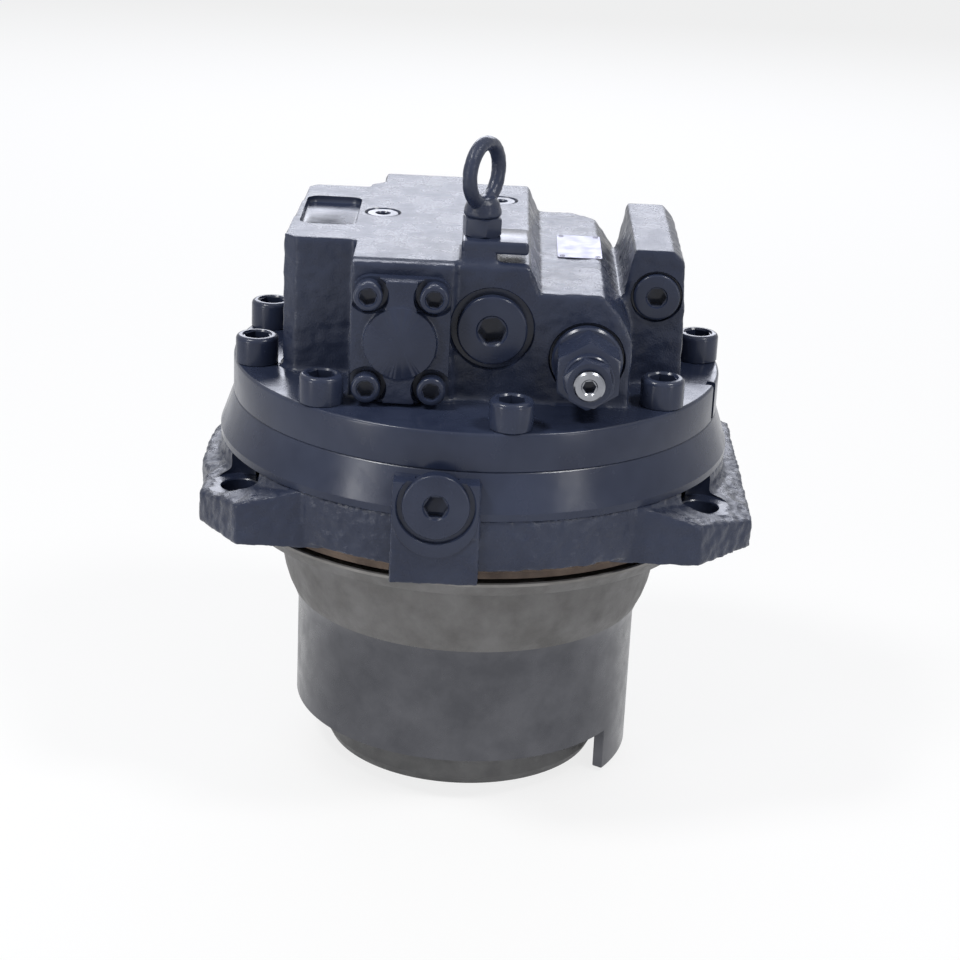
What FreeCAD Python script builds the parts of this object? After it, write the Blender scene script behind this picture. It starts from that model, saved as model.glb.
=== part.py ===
"""Excavator final drive: hydraulic travel motor, brake and two-stage planetary hub.

Frame: millimetres, +Z up along the drive axis.  The origin is where the axis meets the
mounting face of the flange, so the motor is above z = 0 and the turning hub is below it.
The valve block faces -Y.
"""
import FreeCAD, Part
import Sketcher
import math
import os

V = FreeCAD.Vector
doc = FreeCAD.newDocument("final_drive")

# ---------------------------------------------------------------- driving dimensions
DIMENSIONS = [
    # flange casting with its four ears, and the spindle below it
    ("seam_height", 72), ("ring_top_radius", 175), ("ring_edge_radius", 184), ("ring_edge_drop", 26),
    ("ring_band_foot", 29), ("ring_skirt_radius", 182), ("ring_relief", 4), ("ring_foot_radius", 174),
    ("spigot_radius", 172), ("spigot_depth", 5),
    ("ear_front", 144.5), ("ear_corner_x", 158), ("ear_side_left", 188), ("ear_side_right", 197),
    ("ear_side_front", 103), ("ear_web_start", 111), ("ear_outer_height", 23.5),
    ("plate_bulge", 195), ("plate_bulge_half", 30),
    ("ear_hole_x", 160.5), ("ear_hole_y", 93), ("ear_hole_radius", 13), ("ear_seat_radius", 23),
    ("ear_seat_height", 24), ("dowel_hole_x", 131), ("dowel_hole_y", 112), ("dowel_hole_radius", 5),
    ("dowel_hole_depth", 20),
    ("drain_boss_x", 21.5), ("drain_boss_half", 29.5), ("drain_boss_stand", 5), ("drain_boss_foot", 2.5),
    ("drain_boss_drop", 5), ("drain_height", 51.5), ("drain_seat_radius", 26), ("drain_seat_depth", 3),
    ("cavity_radius", 104), ("brake_floor", 10), ("swash_cavity_radius", 76), ("swash_floor", 44),
    ("carrier_bolt_circle", 52), ("carrier_bolt_radius", 5), ("carrier_bolt_length", 22),
    ("ear_corner_fillet", 4),
    ("seal_groove_inner", 124), ("seal_groove_outer", 146), ("seal_groove_height", 7),
    ("spindle_neck_radius", 97), ("bearing_seat_radius", 90), ("bearing_top", 16), ("bearing_width", 22),
    ("bearing_gap", 4), ("spindle_thread_radius", 86), ("nut_width", 11), ("shaft_exit_radius", 20),
    # motor cover and its valve block
    ("cover_radius", 175), ("cover_thickness", 27), ("cover_spigot_depth", 6), ("cover_fit", 0.1),
    ("seal_section", 6),
    ("cover_bolt_circle", 160.5), ("block_top", 195.5), ("block_left", 86), ("block_front", 108),
    ("block_rear", 124), ("block_step_x", 31), ("low_top_x", 41), ("low_top", 176.5), ("low_top_end", 84),
    ("block_shoulder_x", 99), ("block_shoulder", 158), ("block_right", 105), ("rear_corner_cut", 36),
    ("left_block_side", 136), ("left_block_front", 60), ("left_block_rear", 98), ("side_block_top", 195.5),
    ("pocket_depth", 5), ("pocket_front", 20), ("pocket_rear", 62), ("pocket_end", 88), ("pocket_wall", 6),
    ("right_block_side", 141), ("right_block_front", 53), ("right_block_rear", 84),
    ("rear_block_left", 76), ("rear_block_right", 14), ("rear_block_top", 195.5), ("rear_block_front", 96),
    ("rear_block_rear", 143),
    ("lift_pad_left", 13), ("lift_pad_right", 11), ("lift_pad_front", 104), ("lift_pad_rear", 64),
    ("lift_ledge_right", 32), ("lift_ledge_bottom", 201), ("lift_ledge_top", 209.5),
    ("cap_x", 51), ("cap_height", 143.5), ("cap_pad_half_x", 35), ("cap_pad_top", 194), ("cap_pad_foot", 98),
    ("cap_pad_face", 112), ("cap_thickness", 12), ("cap_half_x", 33), ("cap_half_z", 43),
    ("cap_bolt_x", 22), ("cap_bolt_z", 32), ("cap_boss_radius", 24.5), ("cap_boss_height", 6),
    ("cap_rib_half", 10.5), ("cap_seat_radius", 13.2), ("cap_seat_depth", 5),
    ("shift_bore_radius", 12), ("shift_bore_end", 40),
    ("spool_x", 10), ("spool_height", 150.5), ("spool_bore_radius", 17), ("plug_recess_radius", 28.4),
    ("plug_recess_depth", 3), ("plug_radius", 23.8), ("plug_proud", 5), ("plug_thread_radius", 21),
    ("plug_thread_length", 24), ("plug_hex", 17),
    ("relief_x", 75), ("relief_height", 132), ("relief_seat_radius", 25.6), ("relief_seat_depth", 4),
    ("relief_bore_radius", 16), ("relief_bore_end", 48),
    ("relief_stem", 10.5), ("relief_length", 48), ("relief_collar", 6), ("relief_neck", 17),
    ("relief_body_length", 46), ("relief_flats", 41), ("relief_nut_flats", 30), ("relief_nut_height", 9),
    ("relief_screw_proud", 5), ("relief_screw_hex", 8), ("spool_half", 68), ("spool_land", 16.95),
    ("shift_length", 58), ("sun_shaft_radius", 9),
    ("port_x", 123), ("port_height", 162.7), ("port_seat_radius", 17.6), ("port_plug_radius", 16.2),
    ("port_bore_radius", 13), ("port_bore_depth", 26),
    ("work_port_x", 52), ("work_port_height", 146), ("work_port_radius", 11), ("work_port_depth", 58),
    ("work_bolt_x", 11.1), ("work_bolt_z", 23.8), ("work_bolt_radius", 4.25), ("work_bolt_depth", 18),
    # shaft, pump group and brake inside the motor
    ("shaft_radius", 13), ("front_seat_radius", 15), ("front_bearing_radius", 31),
    ("front_bearing_width", 16), ("rear_bearing_radius", 23.5), ("rear_bearing_width", 14),
    ("rear_seat_radius", 12.5), ("valve_plate_thickness", 6), ("valve_plate_radius", 52),
    ("block_radius", 56), ("block_length", 56), ("piston_circle", 38), ("piston_radius", 9),
    ("piston_end", 1), ("slipper_radius", 11.5), ("slipper_bottom", 8), ("slipper_flange", 3),
    ("slipper_neck_radius", 8), ("retainer_radius", 53), ("retainer_thickness", 2.8),
    ("swash_radius", 58), ("swash_centre_thickness", 22), ("swash_angle", 15), ("swash_back_angle", 8),
    ("swash_bore_radius", 22), ("speed_piston_y", 42), ("speed_piston_radius", 8),
    ("speed_tip_radius", 3), ("speed_bore_depth", 20),
    ("brake_plate_thickness", 4), ("brake_disc_thickness", 3), ("brake_gap", 0.1),
    ("brake_plate_inner", 62), ("brake_disc_outer", 90), ("brake_piston_inner", 66),
    ("brake_piston_height", 22), ("brake_travel", 2.5), ("brake_groove_inset", 9), ("brake_groove_depth", 9),
    ("brake_spring_thickness", 3),
    # hub
    ("hub_gap", 2.6), ("hub_seal_depth", 12), ("seal_ring_inset", 3), ("seal_rubber_space", 10), ("rim_radius", 174), ("rim_edge", 2.8), ("rim_cone_radius", 168),
    ("rim_thickness", 11.4), ("hub_body_radius", 140), ("rim_underside_inner", 152),
    ("rim_bolt_circle", 160), ("rim_bolt_radius", 5.1), ("rim_bolt_depth", 9),
    ("hub_cast_end_radius", 129.5), ("hub_cast_end", 79), ("band_radius", 125.7), ("band_top", 89.6),
    ("band_bottom", 166.5), ("race_step", 2.5), ("ring_wall", 6.2), ("gear_seat_top", 74),
    ("lug_thickness", 8), ("lug_bottom", 198), ("lug_start_angle", 328), ("lug_angle", 37),
    ("cover_flange_top", 158.5), ("cover_flange_thickness", 4.5), ("cover_wall_radius", 103),
    ("cover_wall", 10), ("cover_bottom", 200.7), ("cover_end_thickness", 10.5),
    ("snap_ring_thickness", 2.5), ("snap_groove", 2),
    # gears
    ("gear_module", 3.2), ("ring_teeth", 66), ("sun_2_teeth", 18), ("sun_1_teeth", 12),
    ("carrier_2_top", 76), ("carrier_2_thickness", 9), ("gear_side_gap", 1.5), ("planet_2_width", 31),
    ("carrier_2_foot", 8), ("carrier_step", 1.5), ("carrier_1_thickness", 8), ("planet_1_width", 19),
    ("carrier_1_foot", 6), ("pin_2_radius", 13), ("pin_1_radius", 11), ("running_fit", 0.05),
    ("pillar_circle", 80), ("pillar_2_radius", 11), ("pillar_1_radius", 9),
    # fasteners and lifting eye
    ("cover_bolt_size", 20), ("cover_bolt_length", 50), ("cap_bolt_size", 13), ("cap_bolt_length", 40),
    ("eye_ring_outer", 25), ("eye_ring_wire", 5), ("eye_collar_radius", 12.8), ("eye_collar_height", 12),
    ("eye_nut_height", 13), ("eye_nut_flats", 24), ("eye_turn", 62), ("eye_thread_radius", 6),
    ("eye_thread_length", 22), ("eye_sink", 3), ("eye_collar_taper", 2),
    ("name_plate_x", 70), ("name_plate_y", 19), ("name_plate_width", 32), ("name_plate_depth", 62),
    ("name_plate_thickness", 1), ("flush_plug_radius", 12), ("flush_plug_depth", 14), ("flush_plug_hex", 8),
]

sheet = doc.addObject("Spreadsheet::Sheet", "dims")
for row, (alias, value) in enumerate(DIMENSIONS, start=1):
    sheet.set(f"A{row}", alias)
    sheet.set(f"B{row}", str(value))
    sheet.setAlias(f"B{row}", alias)
doc.recompute()


def size(alias):
    """The value of one driving dimension."""
    return float(sheet.get(alias))


def bound(text):
    """An expression in which each word is an alias of the sheet."""
    words = text.replace("(", " ( ").replace(")", " ) ").split()
    functions = ("sin", "cos", "tan", "sqrt")
    plain = functions + ("deg",)
    joined = " ".join("dims." + w if w[0].isalpha() and w not in plain else w for w in words)
    for name in functions:
        joined = joined.replace(name + " (", name + "(")
    return joined


def number(text):
    """The present value of such an expression."""
    return float(sheet.evalExpression(bound(text)))


# ---------------------------------------------------------------- construction helpers
def new_body(label, x=None, y=None, z=None, turn=None):
    """A body whose place is bound to the sheet; turn is a rotation of the whole body."""
    body = doc.addObject("PartDesign::Body", label)
    body.Label = label
    if turn is not None:
        body.Placement = FreeCAD.Placement(V(0, 0, 0), turn)
    for axis, text in (("x", x), ("y", y), ("z", z)):
        if text is not None:
            body.setExpression(f".Placement.Base.{axis}", bound(text))
    return body


def new_sketch(body, role, name, offset=None, spin=None):
    """A sketch on one of the body's own origin planes, shifted along the plane's normal."""
    plane = [f for f in body.Origin.OriginFeatures if f.Role == role][0]
    sketch = body.newObject("Sketcher::SketchObject", name)
    sketch.AttachmentSupport = [(plane, "")]
    sketch.MapMode = "FlatFace"
    if spin is not None:
        sketch.AttachmentOffset = FreeCAD.Placement(V(0, 0, 0), FreeCAD.Rotation(V(0, 1, 0), number(spin)))
        sketch.setExpression("AttachmentOffset.Rotation.Angle", bound(spin))
    if offset is not None:
        sketch.setExpression("AttachmentOffset.Base.z", bound(offset))
    return sketch


def bind(sketch, kind, args, text):
    index = sketch.addConstraint(Sketcher.Constraint(kind, *args, number(text)))
    sketch.setExpression(f"Constraints[{index}]", bound(text))


def polygon(sketch, points):
    """A closed outline; every corner is bound in both directions."""
    values = [V(number(a), number(b), 0) for a, b in points]
    first = sketch.GeometryCount
    count = len(points)
    for i in range(count):
        sketch.addGeometry(Part.LineSegment(values[i], values[(i + 1) % count]), False)
    for i in range(count):
        sketch.addConstraint(Sketcher.Constraint("Coincident", first + i, 2, first + (i + 1) % count, 1))
        bind(sketch, "DistanceX", (-1, 1, first + i, 1), points[i][0])
        bind(sketch, "DistanceY", (-1, 1, first + i, 1), points[i][1])


def rectangle(sketch, x0, y0, x1, y1):
    polygon(sketch, [(x0, y0), (x1, y0), (x1, y1), (x0, y1)])


def circle(sketch, x, y, radius):
    index = sketch.addGeometry(Part.Circle(V(number(x), number(y), 0), V(0, 0, 1), number(radius)), False)
    bind(sketch, "DistanceX", (-1, 1, index, 3), x)
    bind(sketch, "DistanceY", (-1, 1, index, 3), y)
    bind(sketch, "Radius", (index,), radius)


def hexagon(sketch, x, y, flats):
    corners = []
    for k in range(6):
        corners.append((f"{x} + {flats} / sqrt(3) * cos({60 * k} deg)",
                        f"{y} + {flats} / sqrt(3) * sin({60 * k} deg)"))
    polygon(sketch, corners)


def extrude(body, kind, sketch, length, name, reverse=False):
    feature = body.newObject("PartDesign::" + kind, name)
    feature.Profile = sketch
    feature.setExpression("Length", bound(length))
    feature.Reversed = reverse
    sketch.Visibility = False
    return feature


def spin_feature(body, kind, sketch, name, angle=None):
    feature = body.newObject("PartDesign::" + kind, name)
    feature.Profile = sketch
    feature.ReferenceAxis = (sketch, ["V_Axis"])
    feature.Angle = 360
    if angle is not None:
        feature.setExpression("Angle", bound(angle))
    return feature


def polar(body, feature, count, name):
    """The feature repeated about the body's own Z axis."""
    pattern = body.newObject("PartDesign::PolarPattern", name)
    pattern.Originals = [feature]
    axis = [f for f in body.Origin.OriginFeatures if f.Role == "Z_Axis"][0]
    pattern.Axis = (axis, [""])
    pattern.Angle = 360
    pattern.Occurrences = count
    body.Tip = pattern
    return pattern


def turned(label, points, **place):
    """A piece turned about its own Z axis from an outline of (radius, height) corners."""
    body = new_body(label, **place)
    sketch = new_sketch(body, "XZ_Plane", label + "_profile")
    polygon(sketch, points)
    spin_feature(body, "Revolution", sketch, label + "_turning")
    return body


def edges_where(body, test):
    """Names of the edges of the body's present shape that pass the test."""
    doc.recompute()
    return [f"Edge{i}" for i, edge in enumerate(body.Shape.Edges, start=1) if test(edge)]


def dress(body, kind, names, text, name):
    """A fillet or chamfer on the named edges of the body's tip."""
    base = body.Tip
    feature = body.newObject("PartDesign::" + kind, name)
    feature.Base = (base, names)
    if kind == "Fillet":
        feature.setExpression("Radius", bound(text))
    else:
        feature.setExpression("Size", bound(text))
    return feature


def upright(edge):
    """True for a straight edge that runs along Z."""
    if edge.Curve.TypeId != "Part::GeomLine":
        return False
    direction = edge.Curve.Direction
    return abs(abs(direction.z) - 1) < 1e-6


def feature_from(label, shape):
    """A piece made straight from Part's functions, from sizes read in the sheet."""
    piece = doc.addObject("Part::Feature", label)
    piece.Label = label
    piece.Shape = shape
    return piece


TO_FRONT = FreeCAD.Rotation(V(1, 0, 0), 90)    # local +Z points to -Y, the front
TO_REAR = FreeCAD.Rotation(V(1, 0, 0), -90)    # local +Z points to +Y, the rear


def ring_piece(inner, outer, bottom, top):
    """A plain ring about Z."""
    body = Part.makeCylinder(outer, top - bottom, V(0, 0, bottom))
    return body.cut(Part.makeCylinder(inner, top - bottom + 2, V(0, 0, bottom - 1)))


def hex_prism(flats, height, bottom=0.0):
    corner = flats / math.sqrt(3)
    points = [V(corner * math.cos(math.radians(60 * k)), corner * math.sin(math.radians(60 * k)), bottom)
              for k in range(7)]
    return Part.Face(Part.makePolygon(points)).extrude(V(0, 0, height))


def socket_bolt(diameter, length):
    """Socket head cap screw; its seat is at z = 0 and the head is above it."""
    head = Part.makeCylinder(0.75 * diameter, diameter)
    head = head.makeChamfer(0.06 * diameter, [head.Edges[0]])
    socket = hex_prism(0.8 * diameter, 0.5 * diameter + 1, 0.5 * diameter)
    shank = Part.makeCylinder(0.5 * diameter, length, V(0, 0, -length))
    return head.cut(socket).fuse(shank)


def group(label, shapes):
    return feature_from(label, Part.makeCompound(shapes))


def around(count, radius, start=0.0):
    """Points equally spaced on a circle about Z."""
    return [V(radius * math.cos(math.radians(start + 360.0 * k / count)),
              radius * math.sin(math.radians(start + 360.0 * k / count)), 0) for k in range(count)]


# ---------------------------------------------------------------- flange casting
DRAIN_FACE = "ring_edge_radius + drain_boss_stand"
SPINDLE_SHOULDER = "0 - bearing_top"
SPINDLE_SEAT_END = "0 - bearing_top - bearing_width * 2 - bearing_gap"
SPINDLE_END = "0 - carrier_2_top"
FRONT_BEARING_BOTTOM = "0 - swash_floor - 2 - front_bearing_width"
COVER_BOLT_ANGLES = (5, 45, 90, 128, 163, 195, 230, 279, 323)
FLUSH_PLUGS = (("0 - 72", "20"), ("12", "73"), ("10", "0 - 30"))


def mounting_flange():
    body = new_body("mounting_flange")
    top = "seam_height - ring_edge_drop"
    left, right = "0 - ear_side_left", "ear_side_right"
    half = "plate_bulge_half"
    plate = new_sketch(body, "XY_Plane", "ear_outline")
    polygon(plate, [
        ("0 - ear_corner_x", "0 - ear_front"), ("ear_corner_x", "0 - ear_front"),
        (right, "0 - ear_side_front"), (right, "ear_side_front"),
        ("ear_corner_x", "ear_front"), ("0 - ear_corner_x", "ear_front"),
        (left, "ear_side_front"), (left, half + " * 2"),
        ("0 - plate_bulge", half), ("0 - plate_bulge", "0 - " + half),
        (left, "0 - " + half + " * 2"), (left, "0 - ear_side_front"),
    ])
    extrude(body, "Pad", plate, top, "ear_plate")
    slopes = new_sketch(body, "XZ_Plane", "ear_slopes", offset="0 - ear_side_right")
    for sign in ("", "0 - "):
        polygon(slopes, [(sign + "ear_web_start", top), (sign + "ear_side_right", "ear_outer_height"),
                         (sign + "(ear_side_right + 30)", "ear_outer_height"),
                         (sign + "(ear_side_right + 30)", "seam_height"),
                         (sign + "ear_web_start", "seam_height")])
    extrude(body, "Pocket", slopes, "ear_side_right * 2", "ear_draft", reverse=True)
    ring = new_sketch(body, "XZ_Plane", "ring_profile")
    polygon(ring, [
        ("0", "seam_height"),
        ("ring_top_radius", "seam_height"),
        ("ring_edge_radius", top),
        ("ring_edge_radius", "ring_band_foot"),
        ("ring_skirt_radius", "ring_relief"),
        ("ring_foot_radius", "ring_relief"),
        ("ring_foot_radius", "0"),
        ("spigot_radius", "0"),
        ("spigot_radius", "0 - spigot_depth"),
        ("spindle_neck_radius", "0 - spigot_depth"),
        ("spindle_neck_radius", SPINDLE_SHOULDER),
        ("bearing_seat_radius", SPINDLE_SHOULDER),
        ("bearing_seat_radius", SPINDLE_SEAT_END),
        ("spindle_thread_radius", SPINDLE_SEAT_END),
        ("spindle_thread_radius", SPINDLE_END),
        ("0", SPINDLE_END),
    ])
    spin_feature(body, "Revolution", ring, "ring_and_spindle")
    inside = new_sketch(body, "XZ_Plane", "inside_profile")
    polygon(inside, [
        ("0", SPINDLE_END + " - 1"),
        ("shaft_exit_radius", SPINDLE_END + " - 1"),
        ("shaft_exit_radius", FRONT_BEARING_BOTTOM),
        ("front_bearing_radius", FRONT_BEARING_BOTTOM),
        ("front_bearing_radius", "0 - swash_floor"),
        ("swash_cavity_radius", "0 - swash_floor"),
        ("swash_cavity_radius", "brake_floor"),
        ("cavity_radius", "brake_floor"),
        ("cavity_radius", "seam_height - cover_spigot_depth"),
        ("cavity_radius + seal_section", "seam_height - cover_spigot_depth"),
        ("cavity_radius + seal_section", "seam_height + 1"),
        ("0", "seam_height + 1"),
    ])
    rectangle(inside, "seal_groove_inner", "0 - spigot_depth - 1", "seal_groove_outer", "seal_groove_height")
    spin_feature(body, "Groove", inside, "inside_turning")
    boss = new_sketch(body, "XY_Plane", "drain_boss_outline", offset="0 - drain_boss_drop")
    x0, x1 = "0 - drain_boss_x - drain_boss_half", "0 - drain_boss_x + drain_boss_half"
    rectangle(boss, x0, "0 - (" + DRAIN_FACE + ")", x1, "0 - seal_groove_outer - 8")
    extrude(body, "Pad", boss, "seam_height + drain_boss_drop - drain_boss_foot", "drain_boss")
    seat = new_sketch(body, "XZ_Plane", "drain_seat_outline", offset=DRAIN_FACE + " - drain_seat_depth")
    circle(seat, "0 - drain_boss_x", "drain_height", "drain_seat_radius")
    extrude(body, "Pocket", seat, "drain_seat_depth + 1", "drain_seat", reverse=True)
    tap = new_sketch(body, "XZ_Plane", "drain_tap_outline", offset="cavity_radius + 8")
    circle(tap, "0 - drain_boss_x", "drain_height", "plug_thread_radius - 6")
    extrude(body, "Pocket", tap, DRAIN_FACE, "drain_tap", reverse=True)
    holes = new_sketch(body, "XY_Plane", "ear_holes", offset="0 - 1")
    seats = new_sketch(body, "XY_Plane", "ear_seats", offset="ear_seat_height")
    for sx in ("", "0 - "):
        for sy in ("", "0 - "):
            circle(holes, sx + "ear_hole_x", sy + "ear_hole_y", "ear_hole_radius")
            circle(seats, sx + "ear_hole_x", sy + "ear_hole_y", "ear_seat_radius")
    extrude(body, "Pocket", holes, "seam_height", "mounting_holes", reverse=True)
    extrude(body, "Pocket", seats, "seam_height - ear_seat_height - ring_edge_drop + 1", "mounting_seats",
            reverse=True)
    dowel = new_sketch(body, "XY_Plane", "dowel_outline", offset="ear_seat_height - 8")
    circle(dowel, "dowel_hole_x", "0 - dowel_hole_y", "dowel_hole_radius")
    extrude(body, "Pocket", dowel, "dowel_hole_depth + 10", "dowel_hole", reverse=True)
    bolts = new_sketch(body, "XY_Plane", "cover_taps", offset="seam_height")
    for angle in COVER_BOLT_ANGLES:
        circle(bolts, f"cover_bolt_circle * cos({angle} deg)", f"cover_bolt_circle * sin({angle} deg)",
               "cover_bolt_size / 2")
    extrude(body, "Pocket", bolts, "cover_bolt_length - cover_thickness + 4", "cover_tapped_holes")
    speed = new_sketch(body, "XY_Plane", "speed_bore_outline", offset="0 - swash_floor")
    circle(speed, "0", "0 - speed_piston_y", "speed_piston_radius + running_fit")
    extrude(body, "Pocket", speed, "speed_bore_depth", "speed_bore")
    carrier = new_sketch(body, "XY_Plane", "carrier_taps", offset=SPINDLE_END)
    for point in range(6):
        circle(carrier, f"carrier_bolt_circle * cos({60 * point} deg)",
               f"carrier_bolt_circle * sin({60 * point} deg)", "carrier_bolt_radius")
    extrude(body, "Pocket", carrier, "carrier_bolt_length", "carrier_tapped_holes", reverse=True)
    edges = edges_where(body, lambda e: upright(e) and abs(e.BoundBox.Center.x) > size("ear_corner_x") - 1
                        and abs(e.BoundBox.Center.y) > size("ear_side_front") - 1)
    dress(body, "Fillet", edges, "ear_corner_fillet", "ear_corners")
    return body


mounting_flange()


# ---------------------------------------------------------------- motor cover with valve block
def motor_cover():
    body = new_body("motor_cover")
    disc = new_sketch(body, "XZ_Plane", "cover_profile")
    top = "seam_height + cover_thickness"
    polygon(disc, [
        ("0", "seam_height - cover_spigot_depth"),
        ("cavity_radius - cover_fit", "seam_height - cover_spigot_depth"),
        ("cavity_radius - cover_fit", "seam_height"),
        ("cover_radius", "seam_height"),
        ("cover_radius", top + " - 2"),
        ("cover_radius - 2", top),
        ("0", top),
    ])
    spin_feature(body, "Revolution", disc, "cover_disc")

    def stand(name, y_front, y_rear, points):
        """A prism along Y with the outline of (x, z) corners, between two depths."""
        sketch = new_sketch(body, "XZ_Plane", name + "_outline", offset="0 - (" + y_rear + ")")
        polygon(sketch, points)
        extrude(body, "Pad", sketch, f"{y_rear} + {y_front}", name)

    foot = top + " - 3"
    stand("valve_block", "block_front", "block_rear", [
        ("0 - block_left", foot), ("block_right", foot), ("block_right", "block_shoulder - 14"),
        ("block_shoulder_x", "block_shoulder"), ("low_top_end", "low_top"), ("low_top_x", "low_top"),
        ("block_step_x", "block_top"), ("0 - block_left", "block_top")])
    stand("left_block", "left_block_front", "left_block_rear", [
        ("0 - left_block_side", foot), ("0 - block_left + 2", foot), ("0 - block_left + 2", "side_block_top"),
        ("0 - left_block_side", "side_block_top")])
    stand("right_block", "right_block_front", "right_block_rear", [
        ("block_right - 8", foot), ("right_block_side", foot), ("right_block_side", "side_block_top - 8"),
        ("right_block_side - 7", "side_block_top"), ("block_right + 1", "side_block_top"),
        ("block_shoulder_x", "block_shoulder")])
    stand("lift_pad", "lift_pad_front", "0 - lift_pad_rear", [
        ("0 - lift_pad_left", "low_top"), ("lift_pad_right", "low_top"),
        ("lift_pad_right", "lift_ledge_bottom"), ("lift_ledge_right", "lift_ledge_bottom"),
        ("lift_ledge_right", "lift_ledge_top"), ("0 - lift_pad_left", "lift_ledge_top")])
    stand("cap_pad", "cap_pad_face", "0 - block_front + 4", [
        ("0 - cap_x - cap_pad_half_x", "cap_pad_foot"), ("0 - cap_x + cap_pad_half_x", "cap_pad_foot"),
        ("0 - cap_x + cap_pad_half_x", "cap_pad_top"), ("0 - cap_x - cap_pad_half_x", "cap_pad_top")])

    cut_corner = new_sketch(body, "XY_Plane", "rear_corners", offset=top)
    polygon(cut_corner, [("block_right + 1", "block_rear - rear_corner_cut"),
                         ("block_right + 1", "block_rear + 1"),
                         ("block_right - rear_corner_cut", "block_rear + 1")])
    polygon(cut_corner, [("0 - block_left - 1", "block_rear - rear_corner_cut / 2"),
                         ("0 - block_left - 1", "block_rear + 1"),
                         ("0 - block_left + rear_corner_cut / 2", "block_rear + 1")])
    extrude(body, "Pocket", cut_corner, "block_top", "rear_corner_cuts", reverse=True)
    stand("rear_block", "0 - rear_block_front", "rear_block_rear", [
        ("0 - rear_block_left", foot), ("0 - rear_block_right", foot),
        ("0 - rear_block_right", "rear_block_top"), ("0 - rear_block_left", "rear_block_top")])
    pocket = new_sketch(body, "XY_Plane", "left_pocket_outline", offset="side_block_top - pocket_depth")
    rectangle(pocket, "0 - left_block_side + pocket_wall", "0 - pocket_front", "0 - pocket_end",
              "pocket_rear")
    extrude(body, "Pocket", pocket, "pocket_depth + 1", "left_pocket", reverse=True)

    def bore(name, x, z, radius, surface, depth):
        """A round pocket from the front, between the surface's Y and a depth behind it."""
        sketch = new_sketch(body, "XZ_Plane", name + "_outline", offset=f"{surface} - ({depth})")
        circle(sketch, x, z, radius)
        extrude(body, "Pocket", sketch, f"{depth} + 12", name, reverse=True)

    bore("spool_recess", "spool_x", "spool_height", "plug_recess_radius", "block_front", "plug_recess_depth")
    bore("spool_thread", "spool_x", "spool_height", "plug_thread_radius", "block_front", "plug_thread_length")
    bore("spool_bore", "spool_x", "spool_height", "spool_bore_radius", "block_front",
         "block_front + block_rear - plug_thread_length")
    rear = new_sketch(body, "XZ_Plane", "rear_thread_outline", offset="0 - block_rear - 1")
    circle(rear, "spool_x", "spool_height", "plug_thread_radius")
    extrude(body, "Pocket", rear, "plug_thread_length + 1", "rear_thread", reverse=True)
    spot = new_sketch(body, "XZ_Plane", "rear_spot_outline", offset="0 - rear_block_rear - 1")
    circle(spot, "spool_x", "spool_height", "plug_radius + 1.2")
    extrude(body, "Pocket", spot, "rear_block_rear - block_rear + 1", "rear_spot_face", reverse=True)
    bore("relief_seat", "relief_x", "relief_height", "relief_seat_radius", "block_front", "relief_seat_depth")
    bore("relief_bore", "relief_x", "relief_height", "relief_bore_radius", "block_front",
         "block_front - relief_bore_end")
    bore("port_seat", "port_x", "port_height", "port_seat_radius", "right_block_front", "plug_recess_depth")
    bore("port_bore", "port_x", "port_height", "port_bore_radius", "right_block_front", "port_bore_depth")
    bore("shift_bore", "0 - cap_x", "cap_height", "shift_bore_radius + running_fit", "cap_pad_face",
         "cap_pad_face - shift_bore_end")
    taps = new_sketch(body, "XZ_Plane", "cap_taps_outline", offset="cap_pad_face - cap_bolt_length")
    for sx in ("", "0 - "):
        for sz in ("", "0 - "):
            circle(taps, f"0 - cap_x + ({sx}cap_bolt_x)", f"cap_height + ({sz}cap_bolt_z)",
                   "cap_bolt_size / 2")
    extrude(body, "Pocket", taps, "cap_bolt_length + 1", "cap_taps", reverse=True)
    ports = new_sketch(body, "XZ_Plane", "work_ports_outline", offset="0 - rear_block_rear - 1")
    for x in ("0 - work_port_x", "work_port_x"):
        circle(ports, x, "work_port_height", "work_port_radius")
    extrude(body, "Pocket", ports, "work_port_depth + 1", "work_ports", reverse=True)
    flange_taps = new_sketch(body, "XZ_Plane", "work_port_taps_outline", offset="0 - rear_block_rear - 1")
    for x in ("0 - work_port_x", "work_port_x"):
        for sx in ("", "0 - "):
            for sz in ("", "0 - "):
                circle(flange_taps, f"{x} + ({sx}work_bolt_x)", f"work_port_height + ({sz}work_bolt_z)",
                       "work_bolt_radius")
    extrude(body, "Pocket", flange_taps, "work_bolt_depth + rear_block_rear - block_rear + 1",
            "work_port_taps", reverse=True)
    lug = new_sketch(body, "XY_Plane", "lift_hole_outline", offset="lift_ledge_top - eye_thread_length")
    circle(lug, "0", "0 - lift_pad_front / 2 - lift_pad_rear / 2", "eye_thread_radius")
    extrude(body, "Pocket", lug, "eye_thread_length + 1", "lift_hole", reverse=True)
    plugs = new_sketch(body, "XY_Plane", "flush_holes_outline", offset="block_top - flush_plug_depth")
    for x, y in FLUSH_PLUGS:
        circle(plugs, x, y, "flush_plug_radius")
    extrude(body, "Pocket", plugs, "flush_plug_depth + 1", "flush_holes", reverse=True)
    holes = new_sketch(body, "XY_Plane", "cover_holes_outline", offset="seam_height - 1")
    for angle in COVER_BOLT_ANGLES:
        circle(holes, f"cover_bolt_circle * cos({angle} deg)", f"cover_bolt_circle * sin({angle} deg)",
               "cover_bolt_size / 2 + 0.5")
    extrude(body, "Pocket", holes, "cover_thickness + 2", "cover_holes", reverse=True)
    inside = new_sketch(body, "XZ_Plane", "cover_inside_profile")
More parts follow.
